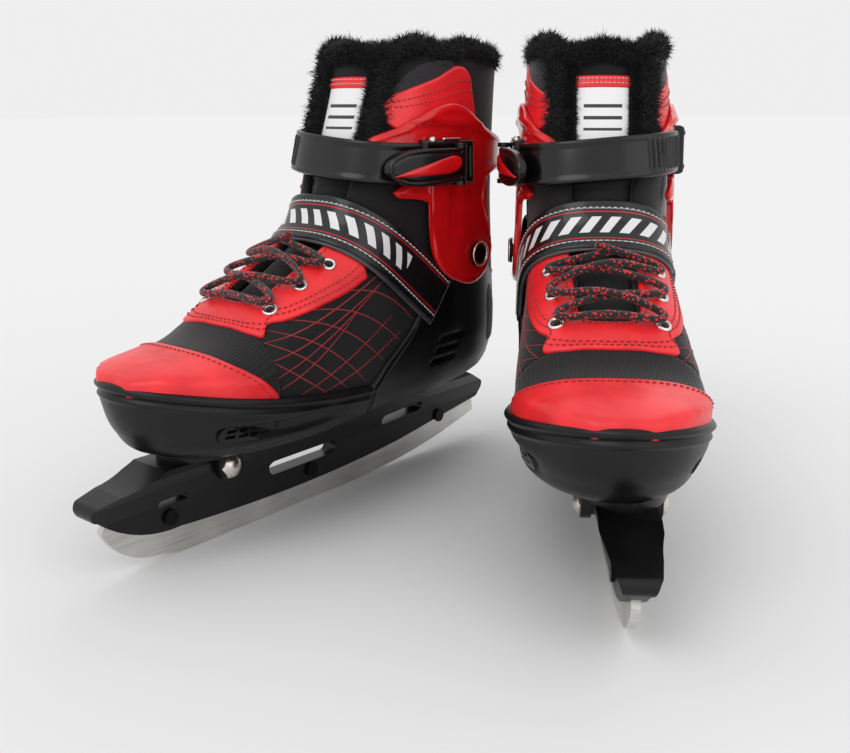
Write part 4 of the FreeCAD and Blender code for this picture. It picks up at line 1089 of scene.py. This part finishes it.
def tongueGrid():
    # rows up the front of the boot from the throat's foot to the top, columns across
    spine, front = bootRows()
    keep = np.concatenate([np.arange(11, 92, 2), np.arange(93, len(spine), 2)])
    spine, front = addLevels(spine[keep], front[keep], tongueLook["levels"])
    tip = castOut(bootField, spine, front)
    reach = np.linalg.norm(tip - spine, axis=1)
    half = np.minimum(tongueLook["half"], 17 + 8 * np.clip((tip[:, 2] - 130) / 40, 0, 1))
    wide = np.arcsin(np.clip(half / reach, 0, 0.8))
    share = np.linspace(-1, 1, 34)
    angles = math.pi / 2 + wide[:, None] * share[None]
    return ringGrid(spine, front, angles), share, spine


padLook = {"voxel": 3.0, "pressure": 4.0, "frames": 20, "cap": 3.0}


def meshArrays(mesh):
    # a mesh of four-sided faces as arrays of its points and faces
    points = np.empty(len(mesh.vertices) * 3)
    mesh.vertices.foreach_get("co", points)
    corners = np.empty(len(mesh.loops), np.int32)
    mesh.loops.foreach_get("vertex_index", corners)
    return points.reshape(-1, 3), corners.reshape(-1, 4)


def puffed(points, faces):
    # a padded piece blown up by cloth simulation: remeshed, put under pressure and subdivided. Each point's move
    # is multiplied by the smaller of 1 and the cap over its size
    scene = bpy.context.scene
    mesh = bpy.data.meshes.new("pad_start")
    mesh.from_pydata((points / 1000).tolist(), [], [list(dict.fromkeys(f)) for f in faces.tolist()])
    pad = bpy.data.objects.new("pad_start", mesh)
    scene.collection.objects.link(pad)

    def settled():
        return bpy.data.meshes.new_from_object(pad.evaluated_get(bpy.context.evaluated_depsgraph_get()))
    remesh = pad.modifiers.new("voxels", "REMESH")
    remesh.mode, remesh.voxel_size = "VOXEL", padLook["voxel"] / 1000
    start = settled()
    pad.modifiers.clear()
    pad.data = start
    cloth = pad.modifiers.new("cloth", "CLOTH")
    cloth.settings.use_pressure = True
    cloth.settings.uniform_pressure_force = padLook["pressure"]
    cloth.settings.effector_weights.gravity = 0
    for number in range(1, padLook["frames"] + 1):
        scene.frame_set(number)
    blown = settled()
    before, after = meshArrays(start)[0], meshArrays(blown)[0]
    move = after - before
    size = np.linalg.norm(move, axis=1, keepdims=True)
    move *= np.minimum(1, padLook["cap"] / 1000 / np.maximum(size, 1e-9))
    blown.vertices.foreach_set("co", (before + move).ravel())
    pad.modifiers.clear()
    pad.data = blown
    fine = pad.modifiers.new("fine", "SUBSURF")
    fine.levels = fine.render_levels = 1
    finished = settled()
    points, faces = meshArrays(finished)
    scene.frame_set(1)
    bpy.data.objects.remove(pad)
    for each in (mesh, start, blown, finished):
        bpy.data.meshes.remove(each)
    print("pad simulated,", len(points), "points, largest move", round(float(size.max()) * 1000, 1), "mm")
    return points * 1000, faces


def crowned(across):
    # how far the tongue's face stands off the boot's: deep below it at its sides, crowned by a square law
    return -tongueLook["deep"] + tongueLook["crown"] * (1 - across ** 2)


def tongue():
    # the pad: a crowned face below the boot's own, a back face behind it, thinner towards the edges
    look = tongueLook
    grid, share, spine = tongueGrid()
    n = gridNormals(grid, spine[:, None])
    above = np.clip((grid[..., 2] - 178) / 20, 0, 1)
    edge = rounding(edgeDistance(grid), 4.0)
    lift = -look["deep"] + (1 - share[None] ** 2) * (2.0 + 1.6 * above) - 2.2 * (1 - edge)
    points, faces = puffed(*sheet(grid, n, lift, lift - look["thick"] * (0.35 + 0.65 * edge)))
    # sewn channels 16 mm apart, pressed into the front below the label
    pitch = look["channel"]
    groove = np.exp(-((np.mod(points[:, 2], pitch) - pitch / 2) / 1.4) ** 2)
    groove *= np.clip((190 - points[:, 2]) / 10, 0, 1)
    groove *= np.clip((bootField(points) + 6.5) / 2, 0, 1)
    points = points - fieldNormal(bootField, points) * 1.1 * groove[:, None]
    # the sewn label holds the pad's front down to the height that the label lies at
    y, z = np.abs(points[:, 1]), points[:, 2]
    low, high = look["held"]
    under = (y < look["heldHalf"]) & (z > low) & (z < high)
    y, z = y[under], z[under]
    on = onShaft(points[under, 1], z)[1]
    out = fieldNormal(shaftField, on)
    over = ((points[under] - on) * out).sum(axis=1) - crowned(y / look["half"])
    ease = np.clip((look["heldHalf"] - y) / 1.5, 0, 1)
    ease *= np.clip((z - low) / 3, 0, 1) * np.clip((high - z) / 3, 0, 1)
    points[under] -= out * (np.maximum(over, 0) * ease)[:, None]
    addPiece("tongue_pad", points, faces, liningCloth, "cuff", blendLine=rideLine, nodes=("tongue",),
             slot="tongue_fabric")


def frontPatch(low, high, half, lift, thick, rows=24):
    # a small patch on the tongue's front between two levels
    z, y = np.meshgrid(np.linspace(low, high, rows), np.linspace(-half, half, 30), indexing="ij")
    start, on = onShaft(y, z)
    n = gridNormals(on, start)
    base = crowned(y / tongueLook["half"]) + lift
    top = base + thick * rounding(edgeDistance(on), 0.8)
    return raised(on, n, top), n, sheet(on, n, top, base - 0.8)


def tongueLabel():
    # a cloth patch between two red bands, each sewn down by two seams of short stitches
    addPiece("tongue_label", *frontPatch(205.0, 236.0, 14.5, 0.3, 0.6)[2], labelCloth, "cuff")
    bands, rows = [], []
    for low, high in ((199.0, 206.0), (234.5, 241.0)):
        top, n, piece = frontPatch(low, high, 15.5, 0.5, 0.9, rows=12)
        bands.append(piece)
        rows += [stitches(top[row], n[row], pitch=2.2, length=1.5, radius=0.3) for row in (4, 8)]
    addPiece("tongue_label_bands", *joinParts(bands), redLeather, "cuff")
    addPiece("tongue_label_stitching", *joinParts(rows), paleThread, "cuff")


tongue()
tongueLabel()
print("tongue made")

furLook = {"hairs": 18500, "fewer": 5200, "roll": 5.6, "crest": 4.6, "length": (2.6, 6.0), "width": 0.27,
           "seed": 7}


def furPath():
    # up one side of the throat, round the collar's top and down the other side
    heights = np.array([198, 209, 220, 230, 239, 247])
    spots = onShaft(22.0, heights, -72.0)[1] + [-3.0, 0.5, 0]
    angles = np.radians(np.linspace(90 - 32, -90, 22))
    direction = np.column_stack([np.sin(angles), np.cos(angles), 0 * angles])
    ring = castOut(shaftField, np.column_stack([0 * angles - 76, 0 * angles, 0 * angles + 250]), direction)
    ring[:, :2] -= direction[:, :2] * 5.4
    ring[:, 2] = 254.5 + 2.2 * np.sin(np.linspace(0.4, math.pi * 4.6, len(ring)))
    return curve(bothSides(np.concatenate([spots, ring[2:]])), 150)


def crestPath():
    # across the top of the tongue, from one side of the throat to the other
    y = np.linspace(-23, 23, 60)
    on = onShaft(y, 247.0)[1]
    return on + np.column_stack([0 * y - 3.5, 0 * y, 1.8 * np.cos(y / 4.5) + 5.0])


def hairs(base, out, count, rng):
    # short hairs, each a three-sided spike that leans and bends over
    lean = out + 0.5 * rng.standard_normal((count, 3))
    lean /= np.linalg.norm(lean, axis=1, keepdims=True)
    length = rng.uniform(*furLook["length"], count)[:, None]
    side = np.cross(lean, rng.standard_normal((count, 3)))
    side /= np.linalg.norm(side, axis=1, keepdims=True)
    other = np.cross(lean, side)
    droop = 0.55 * rng.standard_normal((count, 3)) - [0, 0, 0.25]
    turn = around(3)
    rows = []
    for share, width in ((0.0, 1.0), (0.5, 0.75)):
        spine = base + lean * length * share + droop * length * 0.4 * share ** 2
        rows.append(spine[:, None] + furLook["width"] * width
                    * (side[:, None] * np.cos(turn)[:, None] + other[:, None] * np.sin(turn)[:, None]))
    tip = base + lean * length + droop * length * 0.4
    points = np.concatenate(rows + [tip[:, None]], axis=1)
    one = np.array([[0, 1, 4, 3], [1, 2, 5, 4], [2, 0, 3, 5], [3, 4, 6, 6], [4, 5, 6, 6], [5, 3, 6, 6],
                    [0, 2, 1, 1]])
    return repeated(points.reshape(-1, 3), outward(points[0], one), 7)


def furRoll(path, hint, radius, count, rng, name, nodes=()):
    # a lumpy roll of pile with hairs standing out of it on all sides
    _, across, up = pathFrames(path, hint)
    size = len(path)
    turn = around(14)
    waves = 0.12 * np.sin(np.arange(size) * 0.9)[:, None]
    lump = radius * (1 + waves + 0.1 * rng.standard_normal((size, 14)))
    roll = sweep(path, across, up, lump * np.cos(turn), lump * np.sin(turn))
    k = rng.uniform(0, size - 1, count)
    angle = rng.uniform(0, 2 * math.pi, count)[:, None]
    index = k.astype(int)
    out = across[index] * np.cos(angle) + up[index] * np.sin(angle)
    base = alongPath(k, np.arange(size), path) + out * radius * 0.85
    addPiece(name, *joinParts([roll, hairs(base, out, count, rng)]), furPile, "cuff", nodes=nodes,
             slot="black_fur")


def fur():
    # a roll round the collar and throat, one across the tongue's top, and hairs on the throat itself
    rng = np.random.default_rng(furLook["seed"])
    path = furPath()
    hint = (path - [-76.0, 0, 225]) * [1, 1, 0.2]
    furRoll(path, hint, furLook["roll"], furLook["hairs"], rng, "fur_pile", ("fur_collar",))
    crest = crestPath()
    count = furLook["fewer"]
    furRoll(crest, np.tile([0.4, 0, 1.0], (60, 1)), furLook["crest"], count, rng, "fur_crest")
    # the plush that lines the throat beside the label
    parts = []
    for sign in (1, -1):
        y = sign * rng.uniform(15.2, 24.0, count)
        z = rng.uniform(196, 246, count)
        on = onShaft(y, z)[1]
        n = fieldNormal(shaftField, on)
        parts.append(hairs(on - n * 2.6, n, count, rng))
    addPiece("fur_throat", *joinParts(parts), furPile, "cuff")


fur()
print("fur made")

strapLook = {"top": (3.0, 181.0), "slope": 38.0, "width": 31.0, "lift": 1.9, "thick": 2.6, "split": 84.6,
             "tip": (83.6, 47.0)}
strapSlope = math.radians(strapLook["slope"])
strapAlong = np.array([math.cos(strapSlope), 0, math.sin(strapSlope)])
strapDown = np.array([strapAlong[2], 0, -strapAlong[0]])
strapTop = np.array([strapLook["top"][0], 0, strapLook["top"][1]])


def addBand(name, on, n, run, across, rows, ends, body, node):
    # a closed band with rounded edges and its own coordinates along and across in mm; gives seams on two rows
    d = edgeDistance(on)
    low = strapLook["lift"]
    high = low + strapLook["thick"] * rounding(d, 1.6) + 0.5 * np.clip(d / 8, 0, 1)
    uv = np.stack(np.broadcast_arrays(run, across), axis=-1).reshape(-1, 2)
    addPiece(name, *sheet(on, n, high, low - 0.5), patentBlack, body, uv=np.concatenate([uv, uv]),
             nodes=(node,), slot="patent_black", crease=60)
    return [stitches(raised(on, n, high)[row, ends] - n[row, ends] * 0.1, n[row, ends]) for row in rows]


def instepStrap():
    # planes across the boot at a slope of 38 degrees, with rays that fan out from inside the ankle
    across = strapLook["width"] * packed(26, 1.4)
    centres = strapTop - strapAlong * 70 + strapDown * across[:, None]

    def cast(angle):
        direction = (np.cos(angle)[..., None] * np.array([0.0, 1.0, 0.0])
                     + np.sin(angle)[..., None] * strapAlong)
        return castOut(bootField, np.broadcast_to(centres[:, None], direction.shape), direction)
    # the inner end is where the band's length along the slope falls to the split
    fine = np.radians(np.linspace(92, 150, 60))
    length = cast(np.broadcast_to(fine, (26, 60))) @ strapAlong
    stop = np.array([np.interp(-strapLook["split"], -row, fine) for row in length])
    start = math.radians(-26.0)
    angle = start + (stop[:, None] - start) * np.linspace(0, 1, 110)[None]
    on = cast(angle)
    n = gridNormals(on, centres[:, None])
    run = np.cumsum(np.linalg.norm(np.diff(on, axis=1, prepend=on[:, :1]), axis=-1), axis=1)
    run = run - np.array([np.interp(math.pi / 2, *rows) for rows in zip(angle, run)])[:, None]
    threads = addBand("instep_band", on, n, run, across[:, None], (5, -6), slice(2, -2), "base",
                      "instep_strap")
    addPiece("instep_stitching", *joinParts(threads), paleThread, "base")
    addPiece("instep_piping", *tube(on[-1, ::2] + n[-1, ::2] * 2.6, 1.05, 8), pipingGrey, "base")
    # the pointed end on the inner side, which peels up
    first, last = strapLook["tip"]
    lengths = np.linspace(first, last, 40)
    slim = np.clip((lengths - last) / 15.0, 0, 1)
    half = 15.4 * (0.16 + 0.84 * np.sqrt(1 - (1 - slim) ** 2))
    across = strapLook["width"] / 2 + spread(22, 1.4)[:, None] * half[None]
    height = strapTop @ strapAlong
    origins = strapTop + strapAlong * (lengths - height)[None, :, None] + strapDown * across[..., None]
    inwards = np.array([0.0, -1.0, 0.0])
    on = castOut(bootField, origins, inwards, 80)
    n = gridNormals(on, origins)
    threads = addBand("instep_tip", on, n, lengths - 20, across, (4, -5), slice(1, -2), "strap_end",
                      "strap_tip")
    addPiece("instep_tip_stitching", *joinParts(threads), paleThread, "strap_end")
    # the flat loop on the boot just past the tip
    a, b = flatRing(40, 4.5, 13.0)
    origins = strapTop + strapAlong * (40.5 + a - height)[:, None]
    on = castOut(bootField, origins + strapDown * (strapLook["width"] / 2 + b)[:, None], inwards, 80)
    addPiece("strap_loop", *tube(on + fieldNormal(bootField, on) * 2.0, 1.3, 8, inwards, closed=True),
             blackAcetal, "base")


instepStrap()
print("instep strap made")

ratchetLook = {"mid": 198.0, "slope": -0.09, "half": 11.0, "lift": 0.4, "thick": 2.4, "from": 98.0,
               "to": -77.0, "pitch": 3.1, "ribs": 13, "plain": 19.0}


def levelBand(angles, heights):
    # rays from the ankle's middle line in slightly tilted level planes
    angle, w = np.meshgrid(np.radians(angles), heights, indexing="ij")
    start = np.stack([0 * w - 70, 0 * w, ratchetLook["mid"] + w], axis=-1)
    way = np.stack([np.cos(angle), np.sin(angle), ratchetLook["slope"] * np.sin(angle)], axis=-1)
    on = castOut(cuffField, start, way)
    return on, gridNormals(on, start)


def ratchetStrap():
    # a band round the cuff: thick at its rims, lower inside them, with ribs over its ratchet length
    look = ratchetLook
    heights = look["half"] * spread(22, 1.5)
    on, n = levelBand(np.linspace(look["from"], look["to"], 520), heights)
    run = runLength(on[:, 11])
    back = run[-1] - run - look["plain"]
    ribbed = np.clip(back / 0.4, 0, 1) * np.clip((look["ribs"] * look["pitch"] - back) / 0.4, 0, 1)
    ribbed = ribbed[:, None]
    # each rib is a ramp that ends in a step
    saw = np.mod(back / look["pitch"], 1.0)[:, None]
    saw = np.minimum(saw / 0.75, (1 - saw) / 0.25)
    inside = np.clip((look["half"] - 2.6 - np.abs(heights[None])) / 0.5, 0, 1)
    d = edgeDistance(on)
    high = look["lift"] + look["thick"] * rounding(d, 1.0) - 0.55 * inside + 0.95 * ribbed * inside * saw
    addPiece("ladder_strap", *sheet(on, n, high, look["lift"]), blackAcetal, "cuff",
             nodes=("ratchet_strap",), slot="strap_plastic", crease=50)


def pad(on, n, low, high, radius, hollow=0.0):
    # a block on a surface: its top rises from 0.35 of its height by a quarter circle, less a hollow inside
    d = edgeDistance(on)
    top = low + (high - low) * (0.35 + 0.65 * rounding(d, radius)) - hollow * np.clip((d - 3.0) / 1.0, 0, 1)
    return sheet(on, n, top, low)


def anchorBlock():
    # a hollowed block with two rails, one beside each edge of the strap
    parts = [pad(*levelBand(np.linspace(-76.0, -53.5, 60), 13.0 * spread(36, 1.6)), 0.2, 5.4, 2.0, 0.7)]
    for w in (-9.0, 9.0):
        parts.append(pad(*levelBand(np.linspace(-74.5, -55.5, 30), w + 1.6 * spread(8)), 4.0, 6.0, 1.2))
    addPiece("strap_bracket", *joinParts(parts), blackAcetal, "cuff", nodes=("strap_anchor",),
             slot="buckle_plastic", crease=60)


leverLook = {"hinge": (-60.0, 51.6, 193.4), "reach": 51.0, "half": 10.4, "face": 54.2, "thick": 4.2,
             "bend": 10.5}


def leverFace(x):
    # the face follows the cuff round: it falls in by a square law from the hinge to the tip
    return leverLook["face"] - leverLook["bend"] * np.clip((x + 56.0) / 47.0, 0, 1.2) ** 2


def leverPlate():
    # the plate narrows to a rounded tip; its face is crowned and its rim rolled in
    look = leverLook
    hingeX, hingeY, midZ = look["hinge"]
    u = packed(70, 1.5)[:, None]
    v = spread(34, 1.6)[None]
    tip = np.maximum(1 - np.maximum((u - 0.55) / 0.45, 0) ** 2.6, 0.004)
    half = look["half"] * (1 - 0.12 * (1 - u)) * np.sqrt(tip)
    x = hingeX - 3.4 + (look["reach"] + 3.2) * u + 0 * v
    z = midZ - 1.2 * u + half * v
    flat = np.stack([x, 0 * x, z], axis=-1)
    d = edgeDistance(flat)
    face = leverFace(x) - 1.0 * (1 - rounding(d, 1.8)) - 0.5 * v ** 2 - 0.7 * np.exp(-((d - 2.4) / 0.6) ** 2)
    outer = np.stack([x, face, z], axis=-1)
    inner = np.stack([x, face - look["thick"] + 1.2 * (1 - rounding(d, 1.5)), z], axis=-1)
    axle = np.array([[hingeX, hingeY, midZ + rise] for rise in (-8.3, 0.0, 8.3)])
    barrel = tube(axle, 2.6, 16, (1.0, 0, 0))
    addPiece("buckle_lever_plate", *joinParts([closedSheet(outer, inner), barrel]), blackAcetal, "lever",
             nodes=("buckle_lever",), slot="lever_plastic", crease=50)
    # a raised teardrop, pointed towards the tip
    t = packed(60, 1.3)[:, None]
    v = spread(20, 1.6)[None]
    half = 5.9 * (0.04 + 0.96 * t ** 0.8) * np.sqrt(np.maximum(1 - t ** 9, 0.003))
    x = hingeX + look["reach"] - 3.5 - 45.0 * t + 0 * v
    z = midZ - 5.0 + 6.4 * t ** 0.9 + half * v
    flat = np.stack([x, 0 * x, z], axis=-1)
    high = leverFace(x) - 0.5 + 1.5 * rounding(edgeDistance(flat), 2.2)
    drop = closedSheet(np.stack([x, high, z], axis=-1), np.stack([x, leverFace(x) - 1.4, z], axis=-1))
    addPiece("lever_teardrop", *drop, redAbs, "lever", crease=60)


def buckleBlock():
    # the base on the outer side, with a raised rim, and the wire and stud above the lever
    hingeX, hingeY, midZ = leverLook["hinge"]
    parts = [pad(*levelBand(np.linspace(101.5, 50.5, 90), 12.6 * spread(36, 1.6)), 0.2, 4.9, 2.0, 1.2)]
    turn = around(24)
    inwards = np.where(np.sin(turn) < 0, 5.4, 3.3)
    for side in (-1, 1):
        z = midZ + side * np.array([8.9, 10.2, 11.4])
        lug = np.column_stack([0 * z + hingeX, 0 * z + hingeY, z])
        parts.append(sweep(lug, np.tile([1.0, 0, 0], (3, 1)), np.tile([0, 1.0, 0], (3, 1)),
                           np.tile(3.4 * np.cos(turn), (3, 1)), np.tile(inwards * np.sin(turn), (3, 1))))
    addPiece("buckle_block", *joinParts(parts), blackAcetal, "cuff", nodes=("buckle_base",),
             slot="buckle_plastic", crease=50)
    wire, up = levelBand(np.linspace(84, 66, 14), np.array([12.9, 13.0]))
    stud, studUp = levelBand(np.array([58.0, 58.4]), np.array([12.4, 12.5]))
    spot, out = stud[0, 0], studUp[0, 0]
    rise = np.array([1.0, 3.4, 4.3, 4.8])
    parts = [tube(wire[:, 0] + up[:, 0] * 3.6, 0.9, 8),
             tube(spot + out * rise[:, None], np.array([2.2, 2.2, 1.7, 0.3]), 14)]
    addPiece("buckle_wire", *joinParts(parts), platedSteel, "cuff")


def lowerWing():
    # the short finger of the cuff below the strap, which runs forward from the arm
    low = curve([(-47, 171), (-41, 173.6), (-34, 175), (-27, 175.6), (-22, 176.6), (-19.8, 179.0)], 60)
    high = curve([(-47, 189), (-41, 187.6), (-34, 185.6), (-27, 183.2), (-22.4, 181.2), (-19.8, 179.4)], 60)
    flat = ruled(low, high, 20)
    parts = []
    for sign in (1, -1):
        start = np.stack([flat[..., 0], 0 * flat[..., 0], flat[..., 1]], axis=-1)
        on = castOut(cuffField, start, np.array([0.0, sign, 0]), 80)
        n = gridNormals(on, start)
        d = edgeDistance(on)
        top = -1.4 * (1 - rounding(d, 1.8)) + 0.7 * np.exp(-((d - 3.0) / 1.2) ** 2)
        parts.append(sheet(on, n, top, -2.8))
    addPiece("cuff_lower_wings", *joinParts(parts), redAbs, "cuff", slot="cuff_plastic", crease=60)


pivotLook = {"spot": (-87.0, 46.7, 139.5), "radius": 6.7, "thick": 0.85}


def pivotRings():
    # a bright rolled ring round each pivot rivet's dark head
    turn = around(40)
    rings = []
    for side in (-1, 1):
        x, y, z = pivotLook["spot"]
        circle = np.column_stack([pivotLook["radius"] * np.cos(turn) + x, 0 * turn + side * y,
                                  pivotLook["radius"] * np.sin(turn) + z])
        rings.append(tube(circle, pivotLook["thick"], 8, (0.0, side, 0.0), closed=True))
    addPiece("pivot_rings", *joinParts(rings), platedSteel, "base")


ratchetStrap()
pivotRings()
anchorBlock()
leverPlate()
buckleBlock()
lowerWing()
print("buckle made")

laceLook = {"radius": 1.9, "eyelets": [(62, 24.5), (42, 25.5), (22, 26.5), (3, 27.4)], "top": 6.0,
            "low": 5.9, "width": 4.0}


def onBoot(spots):
    # (x, y, height over the boot) places as points
    spots = np.asarray(spots, float)
    on = topPoints(spots[:, :2])
    return on + fieldNormal(bootField, on) * spots[:, 2:3]


def splinePath(points, name):
    # the smooth line of a NURBS curve with these points as its control points
    data = bpy.data.curves.new(name, "CURVE")
    data.dimensions = "3D"
    spline = data.splines.new("NURBS")
    spline.points.add(len(points) - 1)
    spline.points.foreach_set("co", np.column_stack([points, np.ones(len(points))]).ravel())
    spline.order_u = 3
    spline.use_endpoint_u = True
    spline.resolution_u = 10
    holder = bpy.data.objects.new(name, data)
    mesh = bpy.data.meshes.new_from_object(holder)
    path = np.empty(len(mesh.vertices) * 3)
    mesh.vertices.foreach_get("co", path)
    bpy.data.objects.remove(holder)
    bpy.data.curves.remove(data)
    bpy.data.meshes.remove(mesh)
    return path.reshape(-1, 3)


def laces():
    # one cord through the first three pairs of eyelets, at heights over the boot: top at an eyelet, low between
    (x1, y1), (x2, y2), (x3, y3) = laceLook["eyelets"][:3]
    top, low, wide = laceLook["top"], laceLook["low"], laceLook["width"]
    route = onBoot([
        (23.0, -4.0, low + 1.0), (x3 + 1.0, y3 - 2.0, top), (x3 + 7.0, y3 - 1.0, top),
        ((x2 + x3) / 2 + 1.0, 1.5, low), (x2 - 4.0, -y2, top), (x2 + 4.0, -y2 + 0.5, top),
        ((x1 + x2) / 2 - 1.0, -1.0, low), (x1 - 4.5, y1 - 0.5, top),
        (x1 + 2.0, y1 - 2.0, top + 0.3), (x1 + 1.0, 0.0, low + 0.8), (x1 + 2.5, -y1 + 2.0, top + 0.3),
        (x1 - 4.0, -y1 + 0.5, top), ((x1 + x2) / 2 + 1.0, 1.0, low + wide + 0.5), (x2 + 4.5, y2 - 0.5, top),
        (x2 - 3.5, y2, top), ((x2 + x3) / 2, -1.0, low + wide + 0.5), (x3 + 7.0, -y3 + 1.0, top),
        (x3 + 0.5, -y3 + 2.0, top), (23.0, 4.5, low + wide + 1.0)])
    path = splinePath(route, "lace_line")
    run = runLength(path)
    points, faces = tube(path, laceLook["radius"], 12)
    # round the cord by the share of a turn from one seam, along it in mm
    share = np.abs(np.linspace(-1, 1, 12, endpoint=False))
    uv = np.stack(np.broadcast_arrays(share[None], run[:, None]), axis=-1)
    uv = np.concatenate([uv.reshape(-1, 2), [[0, 0], [0, run[-1]]]])
    addPiece("lace", points, faces, laceBraid, "base", uv=uv, nodes=("laces",), slot="lace_cord")


def eyelets():
    # a rolled ring round each hole, on the boot's surface and square to it, with a dark plug below
    rings, holes = [], []
    turn = around(28)
    for x, y in laceLook["eyelets"]:
        for side in (-1, 1):
            middle = topPoints([(x, side * y)])
            n = fieldNormal(bootField, middle)[0]
            across = np.cross(n, [1.0, 0, 0])
            across /= np.linalg.norm(across)
            ahead = np.cross(across, n)
            ring = np.cos(turn)[:, None] * ahead + np.sin(turn)[:, None] * across
            rings.append(tube(middle + n * 1.9 + 3.1 * ring, 0.95, 10, n, closed=True))
            holes.append(tube(middle + n * np.array([[0.5], [1.2], [1.7]]), 2.5, 18, ahead))
    addPiece("eyelet_rings", *joinParts(rings), eyeletBrass, "base", nodes=("eyelets",), slot="eyelet_metal")
    addPiece("eyelet_holes", *joinParts(holes), liningCloth, "base")


def footbed():
    # a thin foam insole on the boot's floor, with its heel raised and its rim rolled up a little
    plan = planPart(94, -122, 90)
    v = spread(30, 1.4)[None]
    x = soleX(plan)[:, None] + 0 * v
    half = (plan[:, 1] * 29)[:, None]
    rise = np.clip((boot["liftFront"] - x) / (boot["liftFront"] - boot["liftRear"]), 0, 1)
    low = boot["floor"] + bootLook["wall"] + 0.4 + rise * boot["heelLift"]
    y = half * v
    d = edgeDistance(np.stack([x, y, low], axis=-1))
    top = low + 3.6 - 2.6 * (1 - rounding(d, 3.0)) + 1.2 * v ** 4 * np.clip((30 - x) / 60, 0, 1)
    foam = closedSheet(np.stack([x, y, top], axis=-1), np.stack([x, y, low], axis=-1))
    addPiece("insole", *foam, liningCloth, "base", nodes=("footbed",), slot="footbed_foam")


laces()
eyelets()
footbed()
print("laces made")

# pieces that keep their shape from the frame
frameLooks = {"blade": bladeSteel, "blade_holder": holderNylon, "blade_rivets": blackSteel,
              "frame_bolts": platedSteel, "sole_plate": plainAcetal, "size_button": buttonRed,
              "button_spring": platedSteel, "cuff_rivets": blackSteel, "buckle_pin": platedSteel,
              "toe_vents": plainAcetal}
for side in sides:
    for name, material in frameLooks.items():
        mesh = frame["nodes"][side + "_" + name].data
        mesh.materials.clear()
        mesh.materials.append(material)

stageLook = {"floor": "#E6E6E6", "sky": "#FFFFFF", "strength": 0.86,
             "suns": (("key", (-0.5, -0.75, 0.95), 0.7, 38), ("fill", (0.8, -0.7, 0.6), 0.34, 50),
                      ("rim", (0.2, 0.9, 0.8), 0.22, 40))}


def floorAndLight():
    # a pale floor just below the blades, an even white sky and three broad suns
    floor = bpy.data.meshes.new("floor")
    corners = ((-9, -9), (9, -9), (9, 30), (-9, 30))
    floor.from_pydata([(x, y, -0.0004) for x, y in corners], [], [(0, 1, 2, 3)])
    floorObject = bpy.data.objects.new("floor", floor)
    bpy.context.scene.collection.objects.link(floorObject)
    # matt paper: one even tone without gloss
    floor.materials.append(newMaterial("paper_matt_pale", Base_Color=hexColour(stageLook["floor"]),
                                       Roughness=1.0, Specular_IOR_Level=0.0)[0])
    world = bpy.data.worlds.new("studio")
    bpy.context.scene.world = world
    world.use_nodes = True
    background = next(n for n in world.node_tree.nodes if n.type == "BACKGROUND")
    background.inputs["Color"].default_value = hexColour(stageLook["sky"])
    background.inputs["Strength"].default_value = stageLook["strength"]
    # each sun's way is the direction it stands in, and the angle is how broad it looks
    for name, way, power, spread in stageLook["suns"]:
        light = bpy.data.lights.new(name, "SUN")
        light.energy, light.angle = power, math.radians(spread)
        lamp = bpy.data.objects.new(name, light)
        tilt = math.atan2(math.hypot(way[0], way[1]), way[2])
        lamp.rotation_euler = (tilt, 0, math.atan2(way[0], -way[1]))
        bpy.context.scene.collection.objects.link(lamp)


floorAndLight()
bpy.context.view_layer.update()
print("scene ready")
